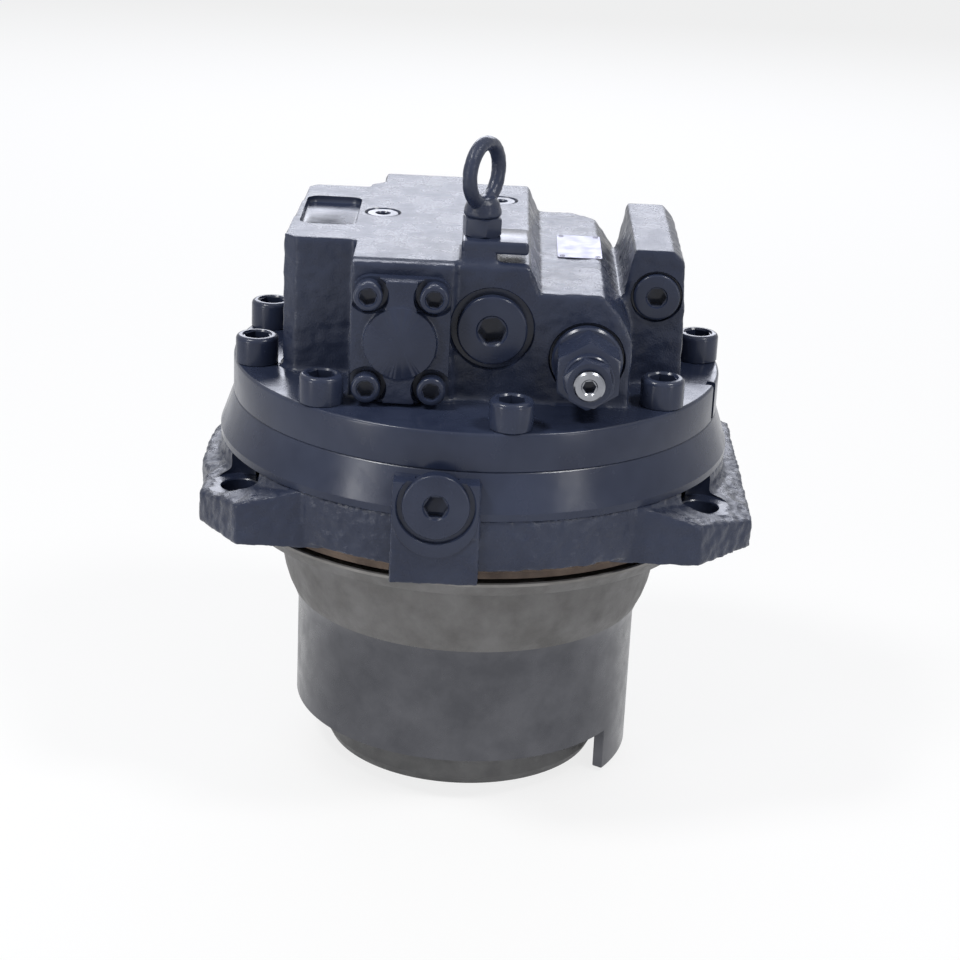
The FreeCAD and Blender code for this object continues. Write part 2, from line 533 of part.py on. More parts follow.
    polygon(inside, [("0", "seam_height - cover_spigot_depth - 1"),
                     ("rear_bearing_radius", "seam_height - cover_spigot_depth - 1"),
                     ("rear_bearing_radius", "seam_height + rear_bearing_width - 2"),
                     ("rear_seat_radius + 4", "seam_height + rear_bearing_width - 2"),
                     ("rear_seat_radius + 4", "seam_height + rear_bearing_width + 2"),
                     ("0", "seam_height + rear_bearing_width + 2")])
    spin_feature(body, "Groove", inside, "rear_bearing_seat")
    return body


motor_cover()


# ---------------------------------------------------------------- pieces on the motor cover
def along_y(label, points, x, z, face, front=True):
    """A piece turned about an axis along Y; its local z = 0 lies at the given depth."""
    place = "0 - (" + face + ")" if front else face
    return turned(label, points, x=x, y=place, z=z, turn=TO_FRONT if front else TO_REAR)


def hex_socket(body, flats, top, depth, name):
    """A hexagon socket in the outer face of a piece turned about its own Z."""
    sketch = new_sketch(body, "XY_Plane", name, offset=top + " - " + depth)
    hexagon(sketch, "0", "0", flats)
    extrude(body, "Pocket", sketch, depth + " + 1", name + "_cut", reverse=True)


def screw_plug(label, x, z, face, radius, thread, length, proud, recess, flats, front=True):
    """Flanged port plug with a hexagon socket; its flange seats in the recess."""
    end = "0 - (" + length + ")"
    body = along_y(label, [
        ("0", end), (thread + " - 1.5", end), (thread, end + " + 1.5"),
        (thread, "0 - " + recess), (radius, "0 - " + recess), (radius, proud + " - 1"),
        (radius + " - 1", proud), ("0", proud)], x, z, face, front)
    hex_socket(body, flats, proud, "plug_hex / 2 + 2", label + "_socket")
    return body


screw_plug("spool_plug_front", "spool_x", "spool_height", "block_front", "plug_radius",
           "plug_thread_radius", "plug_thread_length", "plug_proud", "plug_recess_depth", "plug_hex - 2")
screw_plug("spool_plug_rear", "spool_x", "spool_height", "block_rear", "plug_radius",
           "plug_thread_radius", "plug_thread_length", "plug_proud", "0", "plug_hex - 2", front=False)
screw_plug("port_plug", "port_x", "port_height", "right_block_front", "port_plug_radius",
           "port_bore_radius", "port_bore_depth - 6", "2.5", "plug_recess_depth", "plug_hex - 6")
screw_plug("drain_plug", "0 - drain_boss_x", "drain_height", DRAIN_FACE, "plug_radius - 2.8",
           "plug_thread_radius - 6", "plug_thread_length", "1", "drain_seat_depth", "plug_hex - 4")


def piston_cover():
    """Small cast cover held by four screws over the two-speed spool."""
    body = new_body("piston_cover", x="0 - cap_x", y="0 - cap_pad_face", z="cap_height", turn=TO_FRONT)
    plate = new_sketch(body, "XY_Plane", "cap_outline")
    rectangle(plate, "0 - cap_half_x", "0 - cap_half_z", "cap_half_x", "cap_half_z")
    extrude(body, "Pad", plate, "cap_thickness", "cap_plate")
    corners = edges_where(body, lambda e: e.BoundBox.YLength > size("cap_thickness") - 0.01)
    dress(body, "Fillet", corners, "cap_half_x - cap_bolt_x", "cap_corners")
    rib = new_sketch(body, "XY_Plane", "cap_rib_outline", offset="cap_thickness - 1")
    rectangle(rib, "0 - cap_rib_half", "0 - cap_half_z", "cap_rib_half", "cap_half_z")
    extrude(body, "Pad", rib, "cap_boss_height - 1", "cap_rib")
    boss = new_sketch(body, "XY_Plane", "cap_boss_outline", offset="cap_thickness - 1")
    circle(boss, "0", "0", "cap_boss_radius")
    extrude(body, "Pad", boss, "cap_boss_height + 1", "cap_boss")
    seats = new_sketch(body, "XY_Plane", "cap_seats", offset="cap_thickness - cap_seat_depth")
    holes = new_sketch(body, "XY_Plane", "cap_holes", offset="0 - 1")
    for sx in ("", "0 - "):
        for sz in ("", "0 - "):
            circle(seats, sx + "cap_bolt_x", sz + "cap_bolt_z", "cap_seat_radius")
            circle(holes, sx + "cap_bolt_x", sz + "cap_bolt_z", "cap_bolt_size / 2 + 0.5")
    extrude(body, "Pocket", seats, "cap_seat_depth + 1", "cap_seat_cuts", reverse=True)
    extrude(body, "Pocket", holes, "cap_thickness + 2", "cap_hole_cuts", reverse=True)
    return body


piston_cover()


def cover_bolts():
    bolt = socket_bolt(size("cover_bolt_size"), size("cover_bolt_length"))
    top = size("seam_height") + size("cover_thickness")
    copies = []
    for angle in COVER_BOLT_ANGLES:
        copy = bolt.copy()
        radius = size("cover_bolt_circle")
        spot = V(radius * math.cos(math.radians(angle)), radius * math.sin(math.radians(angle)), top)
        copy.Placement = FreeCAD.Placement(spot, FreeCAD.Rotation(V(0, 0, 1), angle))
        copies.append(copy)
    group("cover_bolts", copies)


def piston_cover_bolts():
    bolt = socket_bolt(size("cap_bolt_size"), size("cap_bolt_length"))
    copies = []
    for sx in (-1, 1):
        for sz in (-1, 1):
            copy = bolt.copy()
            spot = V(-size("cap_x") + sx * size("cap_bolt_x"),
                     -size("cap_pad_face") - size("cap_thickness") + size("cap_seat_depth"),
                     size("cap_height") + sz * size("cap_bolt_z"))
            copy.Placement = FreeCAD.Placement(spot, TO_FRONT)
            copies.append(copy)
    group("piston_cover_bolts", copies)


cover_bolts()
piston_cover_bolts()

# relief valve: cartridge, lock nut, setting screw and poppet on one axis
RELIEF = {"x": "relief_x", "z": "relief_height", "face": "block_front"}
relief = along_y("relief_cartridge", [
    ("0 + relief_stem", "0 - relief_length"), ("relief_bore_radius - 0.05", "0 - relief_length"),
    ("relief_bore_radius - 0.05", "0 - relief_seat_depth"), ("relief_seat_radius - 1.5", "0 - relief_seat_depth"),
    ("relief_seat_radius - 1.5", "relief_collar"), ("relief_neck", "relief_collar + 3"),
    ("relief_neck", "relief_body_length"), ("relief_stem", "relief_body_length")], **RELIEF)
hex_sketch = new_sketch(relief, "XY_Plane", "relief_hexagon", offset="relief_collar + 1")
hexagon(hex_sketch, "0", "0", "relief_flats")
circle(hex_sketch, "0", "0", "relief_stem")
extrude(relief, "Pad", hex_sketch, "relief_body_length - relief_collar - 8", "relief_hexagon_pad")

lock_nut = new_body("relief_lock_nut", x="relief_x", y="0 - block_front - relief_body_length",
                    z="relief_height", turn=TO_FRONT)
nut_sketch = new_sketch(lock_nut, "XY_Plane", "lock_nut_outline")
hexagon(nut_sketch, "0", "0", "relief_nut_flats")
circle(nut_sketch, "0", "0", "relief_stem")
extrude(lock_nut, "Pad", nut_sketch, "relief_nut_height", "lock_nut_pad")

adjuster = along_y("relief_adjuster", [
    ("0", "0"), ("relief_stem - 0.05", "0"),
    ("relief_stem - 0.05", "relief_body_length + relief_nut_height + relief_screw_proud - 1"),
    ("relief_stem - 1", "relief_body_length + relief_nut_height + relief_screw_proud"),
    ("0", "relief_body_length + relief_nut_height + relief_screw_proud")], **RELIEF)
hex_socket(adjuster, "relief_screw_hex", "relief_body_length + relief_nut_height + relief_screw_proud",
           "relief_screw_hex - 2", "adjuster_socket")

along_y("relief_poppet", [
    ("0", "0 - relief_length - 4"), ("relief_stem - 4", "0 - relief_length"),
    ("relief_stem - running_fit", "0 - relief_length + 4"), ("relief_stem - running_fit", "0 - relief_length + 22"),
    ("0", "0 - relief_length + 22")], **RELIEF)

# counterbalance spool and two-speed spool
along_y("main_spool", [
    ("0", "0 - spool_half"), ("spool_bore_radius - 5", "0 - spool_half"),
    ("spool_bore_radius - 5", "0 - spool_half + 8"), ("spool_land", "0 - spool_half + 8"),
    ("spool_land", "0 - spool_half + 40"), ("spool_bore_radius - 7", "0 - spool_half + 40"),
    ("spool_bore_radius - 7", "0 - 14"), ("spool_land", "0 - 14"), ("spool_land", "14"),
    ("spool_bore_radius - 7", "14"), ("spool_bore_radius - 7", "spool_half - 40"),
    ("spool_land", "spool_half - 40"), ("spool_land", "spool_half - 8"),
    ("spool_bore_radius - 5", "spool_half - 8"), ("spool_bore_radius - 5", "spool_half"), ("0", "spool_half")],
    "spool_x", "spool_height", "block_front / 2 - block_rear / 2")
along_y("speed_spool", [
    ("0", "0 - shift_length"), ("shift_bore_radius - 3", "0 - shift_length"),
    ("shift_bore_radius", "0 - shift_length + 3"), ("shift_bore_radius", "0 - shift_length + 16"),
    ("shift_bore_radius - 4", "0 - shift_length + 16"), ("shift_bore_radius - 4", "0 - 20"),
    ("shift_bore_radius", "0 - 20"), ("shift_bore_radius", "0 - 0.3"), ("0", "0 - 0.3")],
    "0 - cap_x", "cap_height", "cap_pad_face")


# name plate without any marks
plate_body = new_body("name_plate", z="low_top")
plate_sketch = new_sketch(plate_body, "XY_Plane", "name_plate_outline")
rectangle(plate_sketch, "name_plate_x - name_plate_width / 2", "name_plate_y - name_plate_depth / 2",
          "name_plate_x + name_plate_width / 2", "name_plate_y + name_plate_depth / 2")
extrude(plate_body, "Pad", plate_sketch, "name_plate_thickness", "name_plate_pad")


def flush_plugs():
    """Three taper plugs screwed level with the top face, each with a hexagon socket."""
    radius, depth = size("flush_plug_radius"), size("flush_plug_depth")
    plug = Part.makeCylinder(radius, depth - 0.5, V(0, 0, -depth))
    plug = plug.makeChamfer(0.8, [plug.Edges[0]])
    plug = plug.cut(hex_prism(size("flush_plug_hex"), depth, -size("flush_plug_hex")))
    copies = []
    for x, y in FLUSH_PLUGS:
        copy = plug.copy()
        copy.translate(V(number(x), number(y), size("block_top")))
        copies.append(copy)
    group("flush_plugs", copies)


flush_plugs()


def eye_bolt():
    """Forged lifting eye with its collar and thread, turned to stand nearly edge-on to the front."""
    outer, wire = size("eye_ring_outer"), size("eye_ring_wire")
    base = size("lift_ledge_top") + size("eye_nut_height")
    collar_top = base + size("eye_collar_height")
    centre = collar_top - size("eye_sink") + outer - wire
    ring = Part.makeTorus(outer - wire, wire, V(0, 0, centre), V(0, 1, 0))
    collar = Part.makeCone(size("eye_collar_radius"), size("eye_collar_radius") - size("eye_collar_taper"),
                           collar_top - base, V(0, 0, base))
    thread = Part.makeCylinder(size("eye_thread_radius") - 0.05, base - size("lift_ledge_top")
                               + size("eye_thread_length") - 2,
                               V(0, 0, size("lift_ledge_top") - size("eye_thread_length") + 2))
    shape = ring.fuse([collar, thread]).removeSplitter()
    place = V(0, -(size("lift_pad_front") + size("lift_pad_rear")) / 2, 0)
    shape.Placement = FreeCAD.Placement(place, FreeCAD.Rotation(V(0, 0, 1), size("eye_turn")))
    feature_from("eye_bolt", shape)


eye_bolt()
eye_nut = new_body("eye_bolt_nut", y="0 - lift_pad_front / 2 - lift_pad_rear / 2", z="lift_ledge_top")
eye_nut_sketch = new_sketch(eye_nut, "XY_Plane", "eye_nut_outline")
hexagon(eye_nut_sketch, "0", "0", "eye_nut_flats")
circle(eye_nut_sketch, "0", "0", "eye_thread_radius")
extrude(eye_nut, "Pad", eye_nut_sketch, "eye_nut_height", "eye_nut_pad")

# seal between cover and flange casting
seal_half = size("seal_section") / 2
feature_from("cover_seal", Part.makeTorus(size("cavity_radius") + seal_half, seal_half - 0.1,
                                          V(0, 0, size("seam_height") - seal_half)))


# ---------------------------------------------------------------- motor inside
PORT_FACE = "seam_height - cover_spigot_depth"
BLOCK_TOP = PORT_FACE + " - valve_plate_thickness - 0.05"
BLOCK_BOTTOM = BLOCK_TOP + " - block_length"
turned("valve_plate", [("rear_seat_radius + 4", PORT_FACE + " - valve_plate_thickness"),
                       ("valve_plate_radius", PORT_FACE + " - valve_plate_thickness"),
                       ("valve_plate_radius", PORT_FACE), ("rear_seat_radius + 4", PORT_FACE)])
block = turned("cylinder_block", [("shaft_radius + 2", BLOCK_BOTTOM), ("block_radius", BLOCK_BOTTOM),
                                  ("block_radius", BLOCK_TOP), ("shaft_radius + 2", BLOCK_TOP)])
bores = new_sketch(block, "XY_Plane", "cylinder_bore", offset=BLOCK_BOTTOM + " - 1")
circle(bores, "piston_circle", "0", "piston_radius")
cylinder_bore = extrude(block, "Pocket", bores, "block_length - 8", "cylinder_bores", reverse=True)
doc.recompute()
polar(block, cylinder_bore, 9, "nine_bores")
kidneys = new_sketch(block, "XY_Plane", "block_ports", offset=BLOCK_TOP + " + 1")
circle(kidneys, "piston_circle", "0", "piston_radius / 2")
block_port = extrude(block, "Pocket", kidneys, "12", "block_port")
doc.recompute()
polar(block, block_port, 9, "nine_ports")


def rotating_group():
    """Pistons, slippers and retainer; they are drawn at mid stroke and turn with the block."""
    bottom = -size("slipper_bottom")
    flange_top = bottom + size("slipper_flange")
    neck_top = -size("piston_end")
    radius = size("piston_radius") - 0.02
    spots = around(9, size("piston_circle"))
    pistons, slippers = [], []
    for spot in spots:
        piston = Part.makeCylinder(radius, number(BLOCK_TOP) - 14 - neck_top, V(0, 0, neck_top))
        piston = piston.makeChamfer(1.5, [piston.Edges[0], piston.Edges[2]])
        slipper = Part.makeCylinder(size("slipper_radius"), flange_top - bottom, V(0, 0, bottom))
        slipper = slipper.fuse(Part.makeCylinder(size("slipper_neck_radius"), neck_top - flange_top,
                                                 V(0, 0, flange_top))).removeSplitter()
        piston.translate(spot)
        slipper.translate(spot)
        pistons.append(piston)
        slippers.append(slipper)
    group("pistons", pistons)
    group("slippers", slippers)
    plate = ring_piece(size("shaft_radius") + 9, size("retainer_radius"), flange_top,
                       flange_top + size("retainer_thickness"))
    for spot in spots:
        plate = plate.cut(Part.makeCylinder(size("slipper_neck_radius") + 0.02, 10, spot + V(0, 0, flange_top - 2)))
    feature_from("retainer_plate", plate)


rotating_group()


def brake_pack():
    """Steel plates fixed in the casing and friction discs on the cylinder block, stacked."""
    plates, discs = [], []
    height = size("brake_floor")
    gap = size("brake_gap")
    for k in range(4):
        plates.append(ring_piece(size("brake_plate_inner"), size("cavity_radius") - 0.1, height,
                                 height + size("brake_plate_thickness")))
        height += size("brake_plate_thickness") + gap
        if k < 3:
            discs.append(ring_piece(size("block_radius"), size("brake_disc_outer"), height,
                                    height + size("brake_disc_thickness")))
            height += size("brake_disc_thickness") + gap
    group("brake_plates", plates)
    group("brake_discs", discs)
    inner, outer = size("brake_piston_inner"), size("cavity_radius") - size("running_fit")
    top = height + size("brake_piston_height")
    piston = ring_piece(inner, outer, height, top)
    groove, floor = size("brake_groove_inset"), top - size("brake_groove_depth")
    groove_inner, groove_outer = inner + groove, outer - groove
    piston = piston.cut(ring_piece(groove_inner, groove_outer, floor, top + 1))
    feature_from("brake_piston", piston)
    # one disc spring between the piston and the cover
    free_top = number(PORT_FACE)
    low = floor + size("brake_travel") + 0.2
    inner_low, outer_high = groove_inner + 1, groove_outer - 1
    thick, tip = size("brake_spring_thickness"), size("brake_spring_thickness") / 3
    outline = [V(inner_low, 0, low), V(inner_low + tip, 0, low), V(outer_high, 0, free_top - thick),
               V(outer_high, 0, free_top), V(outer_high - tip, 0, free_top), V(inner_low, 0, low + thick),
               V(inner_low, 0, low)]
    spring = Part.Face(Part.makePolygon(outline)).revolve(V(0, 0, 0), V(0, 0, 1), 360)
    feature_from("brake_spring", spring)


brake_pack()


def swash_plate():
    """Wedge whose face leans at full stroke; it rocks over its back edge to the low angle."""
    floor = -size("swash_floor")
    radius, centre = size("swash_radius"), size("swash_centre_thickness")
    lean = math.tan(math.radians(size("swash_angle")))
    back = math.tan(math.radians(size("swash_back_angle")))
    outline = [V(0, -radius, floor), V(0, 0, floor), V(0, radius, floor + radius * back),
               V(0, radius, floor + centre + radius * lean), V(0, -radius, floor + centre - radius * lean),
               V(0, -radius, floor)]
    wedge = Part.Face(Part.makePolygon(outline)).extrude(V(2 * radius, 0, 0))
    wedge.translate(V(-radius, 0, 0))
    wedge = wedge.common(Part.makeCylinder(radius, 2 * radius, V(0, 0, floor - 1)))
    wedge = wedge.cut(Part.makeCylinder(size("swash_bore_radius"), 2 * radius, V(0, 0, floor - 1)))
    feature_from("swash_plate", wedge)


swash_plate()
turned("speed_piston", [
    ("0", "0 - swash_floor - speed_bore_depth + 0.3"),
    ("speed_piston_radius", "0 - swash_floor - speed_bore_depth + 0.3"),
    ("speed_piston_radius", "0 - swash_floor - 7"), ("speed_tip_radius", "0 - swash_floor - 5"),
    ("speed_tip_radius", "0 - swash_floor - 0.05"), ("0", "0 - swash_floor - 0.05")],
    y="0 - speed_piston_y")

STAGE_1_TOP = "0 - carrier_2_top - carrier_2_thickness - gear_side_gap * 2 - planet_2_width " \
              "- carrier_2_foot - carrier_step - carrier_1_thickness - gear_side_gap"
STAGE_1_BOTTOM = STAGE_1_TOP + " - planet_1_width"
REAR_SEAT_TOP = "seam_height + rear_bearing_width - 2"
turned("drive_shaft", [
    ("0", STAGE_1_BOTTOM + " - 2"), ("sun_shaft_radius", STAGE_1_BOTTOM + " - 2"),
    ("sun_shaft_radius", STAGE_1_TOP), ("shaft_radius", STAGE_1_TOP), ("shaft_radius", "0 - carrier_2_top + 6"),
    ("front_seat_radius", "0 - carrier_2_top + 6"), ("front_seat_radius", BLOCK_BOTTOM + " - 2"),
    ("front_seat_radius", BLOCK_TOP), ("rear_seat_radius", BLOCK_TOP),
    ("rear_seat_radius", REAR_SEAT_TOP), ("0", REAR_SEAT_TOP)])


def shaft_bearings():
    """Inner and outer rings of the two shaft bearings, drawn as one ring each with shields."""
    bottom = number(FRONT_BEARING_BOTTOM)
    front = ring_piece(size("front_seat_radius") + 0.05, size("front_bearing_radius"), bottom,
                       bottom + size("front_bearing_width"))
    top = number(REAR_SEAT_TOP)
    rear = ring_piece(size("rear_seat_radius") + 0.05, size("rear_bearing_radius"),
                      top - size("rear_bearing_width"), top)
    group("shaft_bearings", [front, rear])


shaft_bearings()

# ---------------------------------------------------------------- hub
RIM_TOP = "0 - spigot_depth - hub_gap"
GEAR_SEAT = "gear_module * ring_teeth / 2 + gear_module + ring_wall"
OUTER_RACE = GEAR_SEAT + " - race_step"
BEARING_1_BOTTOM = "0 - bearing_top - bearing_width"
hub = turned("hub", [
    ("seal_groove_outer", RIM_TOP), ("rim_radius", RIM_TOP), ("rim_radius", RIM_TOP + " - rim_edge"),
    ("rim_cone_radius", RIM_TOP + " - rim_thickness"), ("rim_underside_inner", RIM_TOP + " - rim_thickness"),
    ("rim_underside_inner - 2.5", RIM_TOP + " - rim_thickness - 7"),
    ("hub_body_radius + 4", RIM_TOP + " - rim_thickness - 15"), ("hub_body_radius", "0 - 41"),
    ("hub_body_radius - 2", "0 - 52"), ("hub_body_radius - 4", "0 - 62"),
    ("hub_cast_end_radius + 3.7", "0 - hub_cast_end + 8"), ("hub_cast_end_radius", "0 - hub_cast_end"),
    ("band_radius", "0 - band_top"), ("band_radius", "0 - band_bottom"),
    (GEAR_SEAT, "0 - band_bottom"), (GEAR_SEAT, "0 - gear_seat_top"),
    (OUTER_RACE, "0 - gear_seat_top"), (OUTER_RACE, BEARING_1_BOTTOM + " - bearing_gap"),
    (OUTER_RACE + " - 4.5", BEARING_1_BOTTOM + " - bearing_gap"),
    (OUTER_RACE + " - 4.5", BEARING_1_BOTTOM), (OUTER_RACE, BEARING_1_BOTTOM),
    (OUTER_RACE, "0 - bearing_top + 6"), ("seal_groove_inner", "0 - bearing_top + 6"),
    ("seal_groove_inner", RIM_TOP + " - hub_seal_depth"), ("seal_groove_outer", RIM_TOP + " - hub_seal_depth")])
rim_tap = new_sketch(hub, "XY_Plane", "rim_tap_outline", offset=RIM_TOP + " - rim_thickness")
circle(rim_tap, "rim_bolt_circle", "0", "rim_bolt_radius")
rim_hole = extrude(hub, "Pocket", rim_tap, "rim_bolt_depth", "rim_tapped_hole", reverse=True)
doc.recompute()
polar(hub, rim_hole, 12, "rim_tapped_holes")
lug_sketch = new_sketch(hub, "XZ_Plane", "lug_outline", spin="lug_start_angle")
rectangle(lug_sketch, "band_radius - lug_thickness", "0 - lug_bottom", "band_radius", "0 - band_bottom + 1")
spin_feature(hub, "Revolution", lug_sketch, "drive_lug", angle="lug_angle")
groove_sketch = new_sketch(hub, "XZ_Plane", "snap_groove_outline")
rectangle(groove_sketch, GEAR_SEAT + " - 1",
          "0 - cover_flange_top - cover_flange_thickness - snap_ring_thickness",
          GEAR_SEAT + " + snap_groove", "0 - cover_flange_top - cover_flange_thickness")
spin_feature(hub, "Groove", groove_sketch, "snap_ring_groove")

turned("end_cover", [
    ("0", "0 - cover_bottom + cover_end_thickness"),
    ("cover_wall_radius - cover_wall - 8", "0 - cover_bottom + cover_end_thickness"),
    ("cover_wall_radius - cover_wall", "0 - cover_bottom + cover_end_thickness + 8"),
    ("cover_wall_radius - cover_wall", "0 - cover_flange_top"),
    (GEAR_SEAT + " - 0.05", "0 - cover_flange_top"),
    (GEAR_SEAT + " - 0.05", "0 - cover_flange_top - cover_flange_thickness"),
    ("cover_wall_radius", "0 - cover_flange_top - cover_flange_thickness"),
    ("cover_wall_radius", "0 - cover_bottom + 9"), ("cover_wall_radius - 3", "0 - cover_bottom + 3"),
    ("cover_wall_radius - 9", "0 - cover_bottom"), ("0", "0 - cover_bottom")])
turned("cover_snap_ring", [
    (GEAR_SEAT + " - 4", "0 - cover_flange_top - cover_flange_thickness"),
    (GEAR_SEAT + " + snap_groove - 0.05", "0 - cover_flange_top - cover_flange_thickness"),
    (GEAR_SEAT + " + snap_groove - 0.05", "0 - cover_flange_top - cover_flange_thickness - snap_ring_thickness"),
    (GEAR_SEAT + " - 4", "0 - cover_flange_top - cover_flange_thickness - snap_ring_thickness")])


# ---------------------------------------------------------------- hub bearings and seal
def hub_bearings():
    """Two large roller bearings, back to back across the hub's inner shoulder."""
    seat, race, width = size("bearing_seat_radius"), number(OUTER_RACE), size("bearing_width")
    tops = (-size("bearing_top"), -size("bearing_top") - width - size("bearing_gap"))
    inner_outer, outer_inner = seat + 6.5, race - 6.5
    mean = (inner_outer + outer_inner) / 2
    roller = (outer_inner - inner_outer) / 2 - 0.15
    inners, outers, rollers = [], [], []
    for top in tops:
        inners.append(ring_piece(seat, inner_outer, top - width, top))
        outers.append(ring_piece(outer_inner, race, top - width, top))
        for spot in around(18, mean):
            rollers.append(Part.makeCylinder(roller, width - 6, spot + V(0, 0, top - width + 3)))
    inners.append(ring_piece(seat, seat + 5, tops[1], tops[1] + size("bearing_gap")))
    group("bearing_inner_rings", inners)
    group("bearing_outer_rings", outers)
    group("bearing_rollers", rollers)


hub_bearings()
turned("bearing_nut", [
    ("spindle_thread_radius", SPINDLE_SEAT_END + " - nut_width"),
    ("bearing_seat_radius + 8", SPINDLE_SEAT_END + " - nut_width"),
    ("bearing_seat_radius + 8", SPINDLE_SEAT_END + " - 2"), ("bearing_seat_radius + 5", SPINDLE_SEAT_END),
    ("spindle_thread_radius", SPINDLE_SEAT_END)])


def floating_seal():
    """Two lapped metal rings face to face, each carried in its housing by a round rubber ring."""
    inner = size("seal_groove_inner") + size("seal_ring_inset")
    outer = size("seal_groove_outer") - size("seal_rubber_space")
    rubber = size("seal_rubber_space") / 2
    face = -size("spigot_depth") - size("hub_gap") / 2
    reach = size("seal_groove_height") - face - 0.3
    feature_from("seal_ring_fixed", ring_piece(inner, outer, face + 0.03, face + reach))
    feature_from("seal_ring_hub", ring_piece(inner, outer, face - reach, face - 0.03))
    for name, side in (("seal_o_ring_fixed", 1), ("seal_o_ring_hub", -1)):
        height = face + side * (reach - 1.1 * rubber)
        feature_from(name, Part.makeTorus(outer + rubber, 0.98 * rubber, V(0, 0, height)))


floating_seal()


# ---------------------------------------------------------------- gears
ADDENDUM, DEDENDUM = 0.8, 1.0          # stub teeth, in modules
PRESSURE = math.radians(25)
BACKLASH = 0.16                         # taken off each flank, mm


def involute(angle):
    return math.tan(angle) - angle


def half_angle(teeth, radius, side):
    """Half the tooth's angle at a radius; side is -1 to thin a tooth, +1 to widen a space."""
    pitch = teeth * size("gear_module") / 2
    base = pitch * math.cos(PRESSURE)
    local = math.acos(min(1.0, base / max(radius, base)))
    return math.pi / (2 * teeth) + involute(PRESSURE) - involute(local) + side * BACKLASH / pitch


def tooth_outline(teeth, inner, outer, side):
    """Corners of a toothed outline with straight flanks from the inner to the pitch to the outer radius."""
    pitch = teeth * size("gear_module") / 2
    points = []
    for k in range(teeth):
        centre = 2 * math.pi * k / teeth
        for radius in (inner, pitch, outer):
            angle = centre - half_angle(teeth, radius, side)
            points.append(V(radius * math.cos(angle), radius * math.sin(angle), 0))
        for radius in (outer, pitch, inner):
            angle = centre + half_angle(teeth, radius, side)
            points.append(V(radius * math.cos(angle), radius * math.sin(angle), 0))
    return points + points[:1]


def spur_gear(teeth, bore, bottom, top):
    module = size("gear_module")
    pitch = teeth * module / 2
    outline = tooth_outline(teeth, pitch - DEDENDUM * module, pitch + ADDENDUM * module, -1)
    gear = Part.Face(Part.makePolygon(outline)).extrude(V(0, 0, top - bottom))
    gear.translate(V(0, 0, bottom))
    return gear.cut(Part.makeCylinder(bore, top - bottom + 2, V(0, 0, bottom - 1)))


def ring_gear():
    """Internal teeth; the spaces are centred on angle 0."""
    teeth, module = int(size("ring_teeth")), size("gear_module")
    pitch = teeth * module / 2
    space = tooth_outline(teeth, pitch - ADDENDUM * module, pitch + DEDENDUM * module, 1)
    bottom, top = -size("cover_flange_top"), -size("gear_seat_top")
    blank = Part.makeCylinder(number(GEAR_SEAT), top - bottom, V(0, 0, bottom))
    cutter = Part.Face(Part.makePolygon(space)).extrude(V(0, 0, top - bottom + 2))
    cutter.translate(V(0, 0, bottom - 1))
    feature_from("ring_gear", blank.cut(cutter))


ring_gear()


def planet_phase(angle, planet_teeth):
    """Turn of a planet so that it meshes with the ring gear along the given direction."""
    ring_teeth = size("ring_teeth")
    turns = angle * ring_teeth / (2 * math.pi)
    return angle - 2 * math.pi * turns / planet_teeth


def sun_phase(angle, planet_teeth, sun_teeth):
    """Turn of a sun gear so that it meshes with the planet in the given direction."""
    planet_turns = (angle + math.pi - planet_phase(angle, planet_teeth)) * planet_teeth / (2 * math.pi)
    sun_turns = 0.5 - planet_turns
    return angle - 2 * math.pi * sun_turns / sun_teeth


def placed(shape, spot, angle):
    shape.Placement = FreeCAD.Placement(spot, FreeCAD.Rotation(V(0, 0, 1), math.degrees(angle)))
    return shape


def gear_stage(stage, sun_teeth, bore, bottom, top, names):
    """The three planets of one stage; returns the radius of their circle."""
    ring_teeth = int(size("ring_teeth"))
    planet_teeth = (ring_teeth - sun_teeth) // 2
    circle_radius = (sun_teeth + planet_teeth) * size("gear_module") / 2
    for name, spot in zip(names, around(3, circle_radius, STAGE_ANGLES[stage])):
        angle = math.atan2(spot.y, spot.x)
        gear = spur_gear(planet_teeth, bore, bottom, top)
        feature_from(f"planet_{stage}_{name}", placed(gear, spot, planet_phase(angle, planet_teeth)))
    return circle_radius, planet_teeth


STAGE_ANGLES = {2: 90.0, 1: 30.0}
STAGE_2_TOP = -size("carrier_2_top") - size("carrier_2_thickness") - size("gear_side_gap")
STAGE_2_BOTTOM = STAGE_2_TOP - size("planet_2_width")
FIT = size("running_fit")
circle_2, planet_2_teeth = gear_stage(2, int(size("sun_2_teeth")), size("pin_2_radius") + FIT,
                                      STAGE_2_BOTTOM, STAGE_2_TOP, "abc")
circle_1, planet_1_teeth = gear_stage(1, int(size("sun_1_teeth")), size("pin_1_radius") + FIT,
                                      number(STAGE_1_BOTTOM), number(STAGE_1_TOP), "abc")


def suns():
    carrier_bottom = number(STAGE_1_TOP) + size("gear_side_gap")
    angle = math.radians(STAGE_ANGLES[2])
    teeth = int(size("sun_2_teeth"))
    sun = spur_gear(teeth, size("shaft_radius") + 1, carrier_bottom, STAGE_2_TOP)
    feature_from("sun_2", placed(sun, V(0, 0, 0), sun_phase(angle, planet_2_teeth, teeth)))
    angle = math.radians(STAGE_ANGLES[1])
    teeth = int(size("sun_1_teeth"))
    sun = spur_gear(teeth, size("sun_shaft_radius"), number(STAGE_1_BOTTOM), number(STAGE_1_TOP))
    feature_from("sun_1", placed(sun, V(0, 0, 0), sun_phase(angle, planet_1_teeth, teeth)))


suns()


